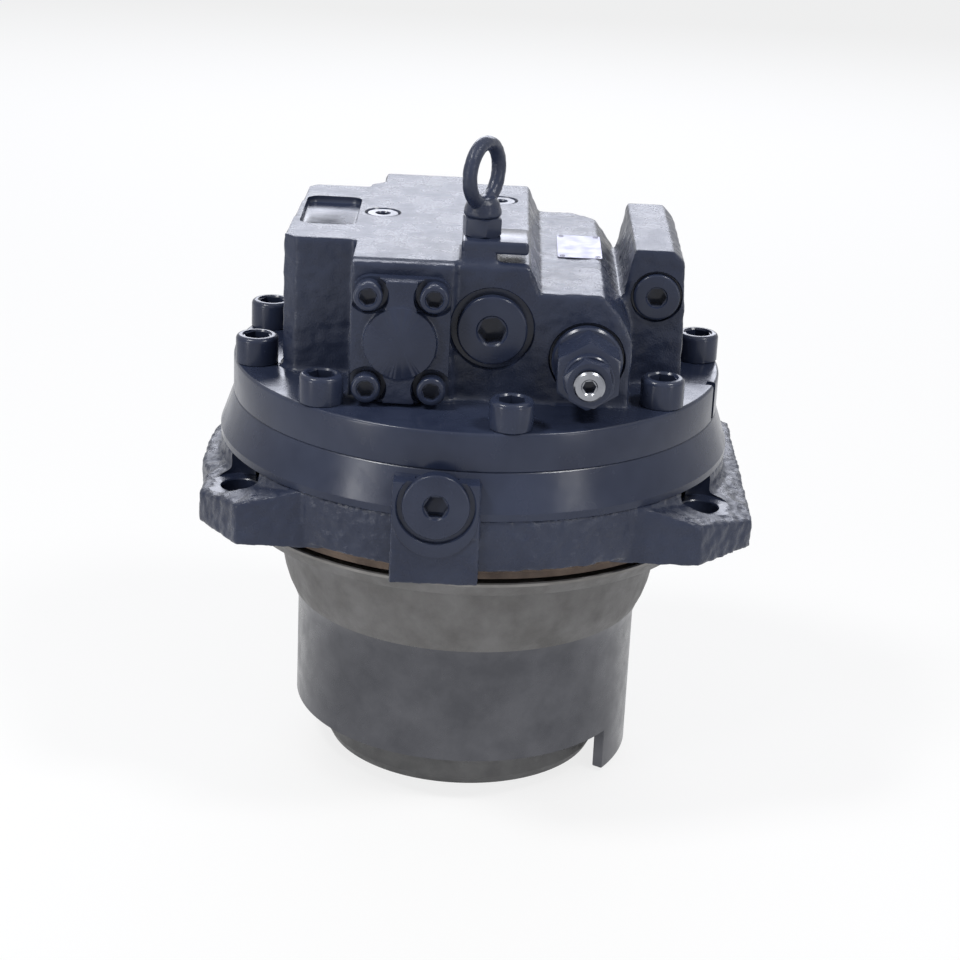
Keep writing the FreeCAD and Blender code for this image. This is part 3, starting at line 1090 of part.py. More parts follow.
def carrier_2():
    """Fixed cage of the second stage, screwed to the end of the spindle."""
    top = -size("carrier_2_top")
    plate_bottom = top - size("carrier_2_thickness")
    foot_top = STAGE_2_BOTTOM - size("gear_side_gap")
    foot_bottom = foot_top - size("carrier_2_foot")
    outer = size("pillar_circle") + size("pillar_2_radius") + 3
    upper = ring_piece(size("shaft_exit_radius"), outer, plate_bottom, top)
    sun_tip = (size("sun_2_teeth") / 2 + ADDENDUM) * size("gear_module")
    lower = ring_piece(sun_tip + 1.5, outer, foot_bottom, foot_top)
    pillars = [Part.makeCylinder(size("pillar_2_radius"), top - foot_bottom - 2, spot + V(0, 0, foot_bottom + 1))
               for spot in around(3, size("pillar_circle"), STAGE_ANGLES[2] + 60)]
    cage = upper.fuse([lower] + pillars)
    pins, bolts = [], []
    for spot in around(3, circle_2, STAGE_ANGLES[2]):
        pin = Part.makeCylinder(size("pin_2_radius"), top - 2 - foot_bottom, spot + V(0, 0, foot_bottom))
        cage = cage.cut(Part.makeCylinder(size("pin_2_radius"), top - 2 - foot_bottom + 1,
                                          spot + V(0, 0, foot_bottom - 1)))
        pins.append(pin)
    radius = size("carrier_bolt_radius")
    for spot in around(6, size("carrier_bolt_circle")):
        head = Part.makeCone(radius, 2 * radius, radius, spot + V(0, 0, plate_bottom + radius), V(0, 0, -1))
        shank = Part.makeCylinder(radius, size("carrier_bolt_length") - 3 + size("carrier_2_thickness") - radius,
                                  spot + V(0, 0, plate_bottom + radius))
        bolt = head.fuse(shank)
        cage = cage.cut(head).cut(Part.makeCylinder(radius, 30, spot + V(0, 0, plate_bottom)))
        socket = hex_prism(radius * 1.2, radius * 0.8, plate_bottom - 0.01)
        socket.translate(spot)
        bolts.append(bolt.cut(socket))
    feature_from("carrier_2", cage.removeSplitter())
    group("carrier_2_pins", pins)
    group("carrier_2_bolts", bolts)


carrier_2()


def carrier_1():
    """Turning cage of the first stage; the second sun is splined into its hub."""
    bottom = number(STAGE_1_TOP) + size("gear_side_gap")
    top = bottom + size("carrier_1_thickness")
    foot_top = number(STAGE_1_BOTTOM) - size("gear_side_gap")
    foot_bottom = foot_top - size("carrier_1_foot")
    sun_tip = (size("sun_2_teeth") / 2 + ADDENDUM) * size("gear_module")
    outer = size("pillar_circle") + size("pillar_1_radius") + 1
    upper = ring_piece(sun_tip, outer, bottom, top)
    lower = ring_piece(size("shaft_exit_radius") + 6, outer, foot_bottom, foot_top)
    pillars = [Part.makeCylinder(size("pillar_1_radius"), top - foot_bottom - 2, spot + V(0, 0, foot_bottom + 1))
               for spot in around(3, size("pillar_circle"), STAGE_ANGLES[1] + 60)]
    cage = upper.fuse([lower] + pillars)
    pins = []
    for spot in around(3, circle_1, STAGE_ANGLES[1]):
        pins.append(Part.makeCylinder(size("pin_1_radius"), top - 2 - foot_bottom, spot + V(0, 0, foot_bottom)))
        cage = cage.cut(Part.makeCylinder(size("pin_1_radius"), top - 2 - foot_bottom + 1,
                                          spot + V(0, 0, foot_bottom - 1)))
    feature_from("carrier_1", cage.removeSplitter())
    group("carrier_1_pins", pins)


carrier_1()


# ---------------------------------------------------------------- check and export
doc.recompute()
os.makedirs("parts", exist_ok=True)
pieces = [o for o in doc.Objects if o.TypeId == "PartDesign::Body"
          or (o.TypeId == "Part::Feature" and not o.InList)]
for item in doc.Objects:
    if "Invalid" in item.State or "Error" in item.State:
        raise RuntimeError(f"{item.Name} failed: {item.State}")
for piece in pieces:
    shape = piece.Shape
    if shape.isNull() or not shape.isValid() or not shape.Solids:
        raise RuntimeError(f"{piece.Label} has no valid solid")
for piece in pieces:
    piece.Shape.exportStep(f"parts/{piece.Label}.step")
print(len(pieces), "nodes written")
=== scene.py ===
import math

import bmesh
import bpy
from mathutils import Matrix, Vector, noise


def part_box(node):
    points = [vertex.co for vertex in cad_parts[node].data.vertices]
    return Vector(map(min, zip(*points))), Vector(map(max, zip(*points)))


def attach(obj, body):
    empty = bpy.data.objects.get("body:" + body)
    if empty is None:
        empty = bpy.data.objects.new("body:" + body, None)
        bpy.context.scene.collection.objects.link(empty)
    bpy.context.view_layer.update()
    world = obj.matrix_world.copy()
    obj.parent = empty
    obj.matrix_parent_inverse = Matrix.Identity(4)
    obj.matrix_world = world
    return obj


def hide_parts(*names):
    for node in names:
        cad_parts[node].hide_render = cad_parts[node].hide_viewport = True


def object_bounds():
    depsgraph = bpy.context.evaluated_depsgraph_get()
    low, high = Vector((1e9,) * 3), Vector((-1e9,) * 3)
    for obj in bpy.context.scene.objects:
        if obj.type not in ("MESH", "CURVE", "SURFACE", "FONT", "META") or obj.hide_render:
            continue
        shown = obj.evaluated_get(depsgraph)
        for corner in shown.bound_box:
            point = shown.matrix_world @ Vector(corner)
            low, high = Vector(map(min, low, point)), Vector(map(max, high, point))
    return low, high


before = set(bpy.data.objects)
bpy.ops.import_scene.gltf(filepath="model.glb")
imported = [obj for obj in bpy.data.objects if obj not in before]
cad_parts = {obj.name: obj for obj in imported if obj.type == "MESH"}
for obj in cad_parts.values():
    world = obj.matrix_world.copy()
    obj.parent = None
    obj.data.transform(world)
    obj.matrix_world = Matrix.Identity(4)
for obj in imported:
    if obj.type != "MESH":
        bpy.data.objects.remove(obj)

# Excavator final drive: a painted travel motor with its valve block, bolted to the eared flange
# casting, over the bare iron hub that turns on it. Shapes are worked out in millimetres in the
# drive's own frame: +Z up the drive axis, -Y towards the cap, plugs and relief valve.

MM = 0.001
CAD_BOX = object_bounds()
UP, FRONT, REAR = Vector((0, 0, 1)), Vector((0, -1, 0)), Vector((0, 1, 0))


def span(node):
    """Lowest and highest corners of a node, in millimetres."""
    low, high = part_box(node)
    return low / MM, high / MM


def middle(node):
    """Centre of a node, in millimetres."""
    low, high = span(node)
    return (low + high) / 2


# ------------------------------------------------------------------ driving sizes, mm
COVER_LOW = span("motor_cover")[0]
FLANGE_LOW, FLANGE_HIGH = span("mounting_flange")
HUB_HIGH = span("hub")[1]
SEAM = FLANGE_HIGH.z                    # joint between flange casting and motor cover
COVER_RADIUS = 175.0
COVER_TOP = SEAM + 27.0
TOP_PLANE = 195.5                       # the one flat top of the valve block
LOW_TOP = span("name_plate")[0].z       # lower step that carries the name plate
BLOCK_FRONT = -108.0
BLOCK_REAR = 124.0
BLOCK_LEFT, BLOCK_RIGHT = -86.0, 105.0
LEFT_SIDE, RIGHT_SIDE = -136.0, 141.0
LEFT_FRONT, RIGHT_FRONT = -60.0, -53.0
RING_EDGE = 184.0                       # sharp edge round the flange casting
RING_EDGE_HEIGHT = SEAM - 26.0
BAND_RADIUS = 125.7                     # machined pilot round the hub
SCREW_CIRCLE = 160.5                    # circle of the cover screws, from the axis
FLUSH_PLACES = [(-72, 20, 10), (12, 73, 40), (10, -30, 25)]     # x, y and turn of each flush plug
WORK_PORTS = [(-52, 143), (52, BLOCK_REAR)]                     # x and face of each work port
WORK_PORT_HEIGHT = 146.0


# ------------------------------------------------------------------ shaping tools
def corners_of(plane, u, v, w):
    """A point from its two places in a plane and its distance from that plane."""
    return {"XY": (u, v, w), "XZ": (u, w, v), "YZ": (w, u, v)}[plane]


def prism(bm, outline, start, end, plane="XY", finish=0):
    """A straight-sided block: its outline in a plane, drawn out between two distances from it."""
    verts = [bm.verts.new(corners_of(plane, u, v, start)) for u, v in outline]
    face = bm.faces.new(verts)
    drawn = bmesh.ops.extrude_face_region(bm, geom=[face])["geom"]
    far = [item for item in drawn if isinstance(item, bmesh.types.BMVert)]
    bmesh.ops.translate(bm, vec=corners_of(plane, 0, 0, end - start), verts=far)
    bm.faces.ensure_lookup_table()
    for each in bm.faces[-len(outline) - 2:]:
        each.material_index = finish


def block(bm, low, high, finish=0):
    (x0, y0, z0), (x1, y1, z1) = low, high
    prism(bm, [(x0, y0), (x1, y0), (x1, y1), (x0, y1)], z0, z1, finish=finish)


def trim(bm, point, facing):
    """Planes a shape off flat, taking away what lies on the facing side."""
    everything = bm.verts[:] + bm.edges[:] + bm.faces[:]
    cut = bmesh.ops.bisect_plane(bm, geom=everything, plane_co=point, plane_no=facing, clear_outer=True)
    rim = [item for item in cut["geom_cut"] if isinstance(item, bmesh.types.BMEdge)]
    bmesh.ops.edgenet_fill(bm, edges=rim)


def add(bm, part, turn=None):
    """Puts a finished shape into another one, turned and moved by a matrix."""
    if turn is not None:
        part.transform(turn)
    mesh = bpy.data.meshes.new("part")
    part.to_mesh(mesh)
    part.free()
    bm.from_mesh(mesh)
    bpy.data.meshes.remove(mesh)


def aim(at, facing=UP, roll=0.0):
    """The place of a shape made about +Z, set at a point and facing a way."""
    turn = UP.rotation_difference(Vector(facing)).to_matrix().to_4x4()
    return Matrix.Translation(at) @ turn @ Matrix.Rotation(math.radians(roll), 4, "Z")


def arc(centre_radius, centre_height, radius, start, end, points=6):
    """Corners along a round stretch of a profile, its angles in degrees."""
    angles = [math.radians(start + (end - start) * k / points) for k in range(points + 1)]
    return [(centre_radius + radius * math.cos(a), centre_height + radius * math.sin(a)) for a in angles]


def turned(profile, steps=96, finish=0):
    """A turned shape about +Z from its (radius, height) corners."""
    bm = bmesh.new()
    verts = [bm.verts.new((radius, 0, height)) for radius, height in profile]
    pairs = list(zip(verts, verts[1:]))
    if profile[0][0] > 0:
        pairs.append((verts[-1], verts[0]))
    edges = [bm.edges.new(pair) for pair in pairs]
    bmesh.ops.spin(bm, geom=verts + edges, cent=(0, 0, 0), axis=(0, 0, 1), dvec=(0, 0, 0),
                   angle=2 * math.pi, steps=steps, use_merge=True, use_duplicate=False)
    bmesh.ops.remove_doubles(bm, verts=bm.verts[:], dist=0.001)
    bmesh.ops.recalc_face_normals(bm, faces=bm.faces[:])
    for face in bm.faces:
        face.material_index = finish
    return bm


def hexagon(flats, turn=0.0):
    """Corners of a hexagon from its width across flats."""
    reach = flats / math.sqrt(3)
    return [(reach * math.cos(math.radians(60 * k + turn)), reach * math.sin(math.radians(60 * k + turn)))
            for k in range(6)]


def soften(bm, width, segments=2, angle=30, where=None):
    """Breaks the sharp edges of a shape with a small round."""
    sharp = [edge for edge in bm.edges if edge.is_manifold
             and edge.calc_face_angle(0) > math.radians(angle) and (where is None or where(edge))]
    bmesh.ops.bevel(bm, geom=sharp, offset=width, offset_type="OFFSET", segments=segments, profile=0.5,
                    affect="EDGES", material=-1, clamp_overlap=True)


def rounded_plate(width, depth, radius, thickness, turns=6):
    """A plate on the XY plane, centred, with round corners."""
    bm = bmesh.new()
    x, y = width / 2, depth / 2
    face = bm.faces.new([bm.verts.new(at) for at in ((-x, -y, 0), (x, -y, 0), (x, y, 0), (-x, y, 0))])
    bmesh.ops.bevel(bm, geom=face.verts[:], offset=radius, offset_type="OFFSET", segments=turns,
                    profile=0.5, affect="VERTICES", material=-1)
    bm.faces.ensure_lookup_table()
    drawn = bmesh.ops.extrude_face_region(bm, geom=bm.faces[:])["geom"]
    bmesh.ops.translate(bm, vec=(0, 0, thickness),
                        verts=[item for item in drawn if isinstance(item, bmesh.types.BMVert)])
    bmesh.ops.recalc_face_normals(bm, faces=bm.faces[:])
    return bm


# ------------------------------------------------------------------ finishing tools
def stock(name, bm, finishes):
    """Makes a working object in metres from a shape in millimetres."""
    bm.transform(Matrix.Scale(MM, 4))
    bmesh.ops.recalc_face_normals(bm, faces=bm.faces[:])
    mesh = bpy.data.meshes.new(name)
    bm.to_mesh(mesh)
    bm.free()
    for finish in finishes:
        mesh.materials.append(finish)
    piece = bpy.data.objects.new(name, mesh)
    bpy.context.scene.collection.objects.link(piece)
    return piece


def settle(piece):
    """Works the modifiers of a piece into its mesh."""
    graph = bpy.context.evaluated_depsgraph_get()
    mesh = bpy.data.meshes.new_from_object(piece.evaluated_get(graph))
    old = piece.data
    piece.modifiers.clear()
    piece.data = mesh
    mesh.name = piece.name
    bpy.data.meshes.remove(old)


def discard(piece):
    """Removes a working object and its mesh."""
    mesh = piece.data
    bpy.data.objects.remove(piece)
    bpy.data.meshes.remove(mesh)


def shape_of(piece):
    """The shape of a working object, back in millimetres."""
    bm = bmesh.new()
    bm.from_mesh(piece.data)
    bm.transform(Matrix.Scale(1 / MM, 4))
    return bm


def melt(piece, grain, passes):
    """Runs overlapping blocks together into one casting, with round edges and hollow fillets."""
    remesh = piece.modifiers.new("melt", "REMESH")
    remesh.mode = "VOXEL"
    remesh.voxel_size = grain * MM
    ease = piece.modifiers.new("ease", "SMOOTH")
    ease.factor = 0.5
    ease.iterations = passes
    settle(piece)


def roughen(piece, depth, spacing, where=None):
    """Gives a casting its uneven skin, in millimetres deep, over lumps of a spacing."""
    mesh = piece.data
    facing = [vert.normal.copy() for vert in mesh.vertices]
    for vert, normal in zip(mesh.vertices, facing):
        place = vert.co / MM
        share = 1.0 if where is None else where(place)
        if share > 0:
            vert.co += normal * (share * depth * MM * noise.fractal(place / spacing, 1.0, 2.0, 3))


def machine(piece, tools, operation="DIFFERENCE", solver="MANIFOLD"):
    """Cuts tools out of a piece, or joins or crosses them with it; new faces carry the tools' finish."""
    tool = stock("tool", tools, list(piece.data.materials))
    cut = piece.modifiers.new("cut", "BOOLEAN")
    cut.operation = operation
    cut.solver = solver
    cut.object = tool
    settle(piece)
    discard(tool)


def finished(piece, body, sharp=32, replaces=()):
    """Smooths a piece except across its sharp edges, gives it its body and hides the CAD nodes it replaces.
    """
    piece.data.shade_smooth()
    piece.data.set_sharp_from_angle(angle=math.radians(sharp))
    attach(piece, body)
    if replaces:
        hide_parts(*replaces)
    return piece


# ------------------------------------------------------------------ finishes
MIX_A, MIX_B, MIX_RESULT = 6, 7, 2      # colour sockets of a mix node


def shader(name, colour, roughness, metallic=0.0, specular=0.5):
    """A plain surface to build a finish on."""
    material = bpy.data.materials.new(name)
    material.use_nodes = True
    surface = material.node_tree.nodes["Principled BSDF"]
    surface.inputs["Base Color"].default_value = (*colour, 1.0)
    surface.inputs["Roughness"].default_value = roughness
    surface.inputs["Metallic"].default_value = metallic
    surface.inputs["Specular IOR Level"].default_value = specular
    return material


def node(material, kind, **inputs):
    """A shader node with the values of its inputs."""
    made = material.node_tree.nodes.new(kind)
    for key, value in inputs.items():
        made.inputs[key.replace("_", " ")].default_value = value
    return made


def link(material, output, socket):
    material.node_tree.links.new(output, socket)


def grain(material, scale, detail=3.0, stretch=(1, 1, 1)):
    """A noise pattern fixed to the piece; scale is in turns per metre."""
    place = material.node_tree.nodes.new("ShaderNodeTexCoord")
    mapping = node(material, "ShaderNodeMapping", Scale=stretch)
    pattern = node(material, "ShaderNodeTexNoise", Scale=scale, Detail=detail, Roughness=0.6)
    link(material, place.outputs["Object"], mapping.inputs["Vector"])
    link(material, mapping.outputs["Vector"], pattern.inputs["Vector"])
    return pattern.outputs["Fac"]


def relief(material, layers):
    """Stacks bumps on the surface; each layer is a pattern and its height in millimetres."""
    below = None
    for pattern, height in layers:
        bump = node(material, "ShaderNodeBump", Strength=1.0, Distance=height * MM)
        link(material, pattern, bump.inputs["Height"])
        if below is not None:
            link(material, below, bump.inputs["Normal"])
        below = bump.outputs["Normal"]
    link(material, below, material.node_tree.nodes["Principled BSDF"].inputs["Normal"])


def vary(material, socket, pattern, low, high, start=0.35, end=0.65):
    """Lets a colour or number wander between two values with a pattern."""
    ramp = node(material, "ShaderNodeMapRange")
    ramp.inputs["From Min"].default_value = start
    ramp.inputs["From Max"].default_value = end
    link(material, pattern, ramp.inputs["Value"])
    target = material.node_tree.nodes["Principled BSDF"].inputs[socket]
    if isinstance(low, tuple):
        mix = material.node_tree.nodes.new("ShaderNodeMix")
        mix.data_type = "RGBA"
        mix.inputs[MIX_A].default_value = (*low, 1.0)
        mix.inputs[MIX_B].default_value = (*high, 1.0)
        link(material, ramp.outputs["Result"], mix.inputs["Factor"])
        link(material, mix.outputs[MIX_RESULT], target)
    else:
        ramp.inputs["To Min"].default_value = low
        ramp.inputs["To Max"].default_value = high
        link(material, ramp.outputs["Result"], target)


def painted(name, skin, roughness, lumps=0.0):
    """Dark blue-grey machine paint over iron; skin is the height of its fine grain in millimetres."""
    paint = shader(name, (0.024, 0.031, 0.058), roughness, specular=0.32)
    vary(paint, "Base Color", grain(paint, 16.0), (0.017, 0.023, 0.047), (0.029, 0.037, 0.067))
    vary(paint, "Roughness", grain(paint, 45.0), roughness - 0.05, roughness + 0.07)
    layers = [(grain(paint, 900.0, 2.0), skin)]
    if lumps:
        layers.append((grain(paint, 130.0, 3.0), lumps))
    relief(paint, layers)
    return paint


def iron(name, dark, light, roughness, metallic, skin, lumps, specular=0.4):
    """Bare iron between two shades, with the grain of its surface."""
    metal = shader(name, dark, roughness, metallic, specular)
    vary(metal, "Base Color", grain(metal, 38.0, 5.0), dark, light)
    vary(metal, "Roughness", grain(metal, 90.0), roughness - 0.06, roughness + 0.08)
    relief(metal, [(grain(metal, 850.0, 3.0), skin), (grain(metal, 160.0, 3.0), lumps)])
    return metal


def lathe_iron(name, dark, light, roughness):
    """Turned iron: fine tool lines round the axis over faint blotches."""
    metal = shader(name, dark, roughness, 1.0)
    vary(metal, "Base Color", grain(metal, 30.0, 4.0), dark, light)
    vary(metal, "Roughness", grain(metal, 70.0), roughness - 0.05, roughness + 0.06)
    relief(metal, [(grain(metal, 1.0, 2.0, (6, 6, 1600)), 0.02), (grain(metal, 500.0), 0.01)])
    return metal


PAINT_CAST = painted("paint_on_casting", 0.22, 0.27, lumps=0.22)
PAINT_SMOOTH = painted("paint_on_machined_face", 0.02, 0.22, lumps=0.02)
PAINT_SOCKET = painted("paint_in_sockets", 0.02, 0.16)
IRON_CAST = iron("bare_casting", (0.115, 0.112, 0.110), (0.165, 0.162, 0.162), 0.55, 0.25, 0.22, 0.30)
IRON_TURNED = lathe_iron("turned_iron", (0.085, 0.087, 0.098), (0.115, 0.117, 0.130), 0.30)
# A lighter copy of the turned iron for the hub's top rim: a painted highlight along the rim.
IRON_RIM_HIGHLIGHT = lathe_iron("turned_rim_painted_highlight", (0.16, 0.155, 0.15), (0.24, 0.235, 0.23), 0.38)
RUST = iron("rusted_iron", (0.065, 0.045, 0.035), (0.14, 0.10, 0.075), 0.7, 0.0, 0.2, 0.2)
INNER_CAST = iron("inner_casting", (0.09, 0.09, 0.092), (0.13, 0.13, 0.132), 0.55, 0.3, 0.15, 0.2)
STEEL = iron("machined_steel", (0.30, 0.31, 0.33), (0.40, 0.41, 0.43), 0.28, 1.0, 0.01, 0.0)
SOCKET_STEEL = iron("socket_steel", (0.22, 0.23, 0.26), (0.34, 0.35, 0.38), 0.22, 1.0, 0.01, 0.0)
BRONZE = iron("bearing_bronze", (0.34, 0.21, 0.09), (0.42, 0.27, 0.12), 0.35, 1.0, 0.02, 0.0)
PLATE = iron("plate_aluminium", (0.26, 0.26, 0.33), (0.31, 0.31, 0.38), 0.42, 0.7, 0.01, 0.02)
RUBBER = iron("seal_rubber", (0.018, 0.018, 0.018), (0.028, 0.028, 0.028), 0.6, 0.0, 0.02, 0.0)
PAINTS = [PAINT_CAST, PAINT_SMOOTH, PAINT_SOCKET]
CAST, FACED, SOCKET, RUSTED = 0, 1, 2, 3


# ------------------------------------------------------------------ screws, plugs and sockets
def socket_tool(flats, depth):
    """The tool for a hexagon socket, its mouth at z = 0."""
    tools = bmesh.new()
    prism(tools, hexagon(flats), -depth, 2, finish=SOCKET)
    return tools


def screw(name, head_radius, head_height, flats, depth, shank_radius, shank_length, crown):
    """One socket head screw, its seat at z = 0."""
    dish = 1.2
    profile = [(0, -shank_length), (shank_radius, -shank_length), (shank_radius, 0), (head_radius - 0.6, 0),
               (head_radius, 0.6)]
    profile += arc(head_radius - crown, head_height - crown, crown, 0, 90)
    profile += [(flats * 0.62, head_height), (flats * 0.56, head_height - dish), (0, head_height - dish)]
    piece = stock(name, turned(profile, steps=64, finish=FACED), PAINTS)
    machine(piece, moved(socket_tool(flats, depth), head_height - dish), solver="EXACT")
    return piece


def moved(bm, height):
    """A shape lifted along its axis."""
    bm.transform(Matrix.Translation((0, 0, height)))
    return bm


def copies(name, pattern, places):
    """Joins copies of a small piece, one at each place, into one piece."""
    bm = bmesh.new()
    for place in places:
        add(bm, shape_of(pattern), place)
    materials = list(pattern.data.materials)
    discard(pattern)
    return stock(name, bm, materials)


def cover_screws():
    """Nine large screws round the motor cover."""
    low, high = span("cover_bolts")
    one = screw("cover_screw", 15, high.z - COVER_TOP, 17, 11, 10, COVER_TOP - low.z, 3.2)
    places = []
    for angle in (5, 45, 90, 128, 163, 195, 230, 279, 323):
        turn = math.radians(angle)
        spot = Vector((SCREW_CIRCLE * math.cos(turn), SCREW_CIRCLE * math.sin(turn), COVER_TOP))
        places.append(aim(spot, UP, roll=angle * 7))
    finished(copies("cover_screws", one, places), "case", replaces=["cover_bolts"])


def cap_screws():
    """Four screws in the corners of the piston cover."""
    low, high = span("piston_cover_bolts")
    head_radius, head_height = 9.75, 13
    seat = low.y + head_height
    one = screw("cap_screw", head_radius, head_height, 10.4, 7, 6.5, high.y - seat, 2.0)
    centre = middle("piston_cover_bolts")
    half_x, half_z = (high.x - low.x) / 2 - head_radius, (high.z - low.z) / 2 - head_radius
    places = [aim((centre.x + sx * half_x, seat, centre.z + sz * half_z), FRONT, roll=20 * sx + 35 * sz)
              for sx in (-1, 1) for sz in (-1, 1)]
    finished(copies("cap_screws", one, places), "case",
             replaces=["piston_cover_bolts"])


def socket_plug(name, source, radius, flats, depth, facing=FRONT, roll=0.0, crown=1.6):
    """A round plug with a hexagon socket, screwed in from the front or the rear."""
    low, high = span(source)
    centre = middle(source)
    face = low.y if facing is FRONT else high.y
    length = high.y - low.y
    thread = radius * 0.87
    dish = 1.4
    profile = [(0, -length), (thread, -length), (thread, -8), (radius, -8)]
    profile += arc(radius - crown, -crown, crown, 0, 90, 4)
    profile += [(flats * 0.64, 0), (flats * 0.575, -dish), (0, -dish)]
    piece = stock(name, turned(profile, steps=96, finish=FACED), PAINTS)
    machine(piece, moved(socket_tool(flats, depth), -dish), solver="EXACT")
    place = aim(Vector((centre.x, face, centre.z)) * MM, facing, roll)
    piece.data.transform(place)
    finished(piece, "case", replaces=[source])


def flush_screws():
    """Three taper plugs level with the flat top."""
    top = span("flush_plugs")[1].z
    profile = [(0, -13), (11.2, -13), (12, -1.2), (10.8, 0), (5.6, 0), (4.8, -1), (0, -1)]
    one = stock("flush_plug", turned(profile, steps=48, finish=FACED), PAINTS)
    machine(one, moved(socket_tool(8, 8), -1), solver="EXACT")
    places = [aim((x, y, top), UP, roll) for x, y, roll in FLUSH_PLACES]
    finished(copies("flush_screws", one, places), "case", replaces=["flush_plugs"])


# ------------------------------------------------------------------ motor cover
def cover_disc():
    """The round plate of the motor cover, with its pry slot."""
    bore = 103.9
    profile = [(0, COVER_LOW.z), (bore, COVER_LOW.z), (bore, SEAM), (COVER_RADIUS - 0.8, SEAM),
               (COVER_RADIUS, SEAM + 0.8)]
    profile += arc(COVER_RADIUS - 2.2, COVER_TOP - 2.2, 2.2, 0, 90, 4) + [(0, COVER_TOP)]
    piece = stock("cover_disc", turned(profile, steps=256, finish=FACED), PAINTS)
    tools = bmesh.new()
    slot = bmesh.new()
    block(slot, (COVER_RADIUS - 6, -4, SEAM - 2), (COVER_RADIUS + 6, 4, COVER_TOP + 3), FACED)
    add(tools, slot, Matrix.Rotation(math.radians(-15), 4, "Z"))
    machine(piece, tools, solver="EXACT")
    finished(piece, "case", sharp=40, replaces=["motor_cover"])


def valve_shape():
    """The valve block as overlapping blocks, before it is run together."""
    bm = bmesh.new()
    foot = COVER_TOP - 9
    main = bmesh.new()
    prism(main, [(BLOCK_LEFT, foot), (41.5, foot), (41.5, LOW_TOP), (33, TOP_PLANE), (BLOCK_LEFT, TOP_PLANE)],
          BLOCK_FRONT, BLOCK_REAR, "XZ")
    trim(main, (BLOCK_LEFT, BLOCK_REAR - 18, 0), Vector((-1, 1, 0)).normalized())
    trim(main, (0, BLOCK_FRONT, TOP_PLANE - 3), Vector((0, -0.8, 1)).normalized())
    add(bm, main)
    low = bmesh.new()
    prism(low, [(20, foot), (BLOCK_RIGHT, foot), (BLOCK_RIGHT, 144), (99, 158), (84, LOW_TOP), (20, LOW_TOP)],
          BLOCK_FRONT, BLOCK_REAR, "XZ")
    trim(low, (BLOCK_RIGHT, BLOCK_REAR - 36, 0), Vector((1, 1, 0)).normalized())
    add(bm, low)
    left = bmesh.new()
    prism(left, [(LEFT_SIDE, LEFT_FRONT + 9), (LEFT_SIDE + 9, LEFT_FRONT), (BLOCK_LEFT + 4, LEFT_FRONT),
                 (BLOCK_LEFT + 4, 98), (-126, 98), (-131, 90)], foot, TOP_PLANE)
    add(bm, left)
    right = bmesh.new()
    prism(right, [(BLOCK_RIGHT - 6, foot), (RIGHT_SIDE + 3, foot), (RIGHT_SIDE + 2, 150),
                  (RIGHT_SIDE, TOP_PLANE - 8), (RIGHT_SIDE - 8, TOP_PLANE), (BLOCK_RIGHT + 1, TOP_PLANE),
                  (99, 158)], RIGHT_FRONT, 84, "XZ")
    trim(right, (RIGHT_SIDE, 76, 0), Vector((1, 1, 0)).normalized())
    add(bm, right)
    block(bm, (-76, 96, foot), (-14, 143, TOP_PLANE))
    block(bm, (-13, -104, LOW_TOP), (11, -64, 208))
    block(bm, (-86, -112, COVER_TOP + 1), (-16, -96, 194))
    return bm


def valve_casting():
    """The valve block: one casting with fillets, then its machined seats and bores."""
    bm = valve_shape()
    add(bm, turned([(0, COVER_TOP - 9), (168, COVER_TOP - 9), (168, COVER_TOP - 0.4), (0, COVER_TOP - 0.4)],
                   steps=96))
    piece = stock("valve_casting", bm, PAINTS)
    melt(piece, 1.7, 7)
    roughen(piece, 0.55, 9.0, lambda place: 0.15 if place.z > TOP_PLANE - 1.5 else 1.0)
    under = bmesh.new()
    block(under, (-200, -200, COVER_TOP - 20), (200, 200, COVER_TOP + 0.05))
    machine(piece, under)
    machine(piece, valve_tools())
    finished(piece, "case", replaces=["motor_cover"])


def seat_tool(tools, x, y, z, facing, profile, steps=96):
    """Adds one turned cutter at a place, facing out of the casting."""
    add(tools, turned(profile, steps=steps, finish=FACED), aim((x, y, z), facing))


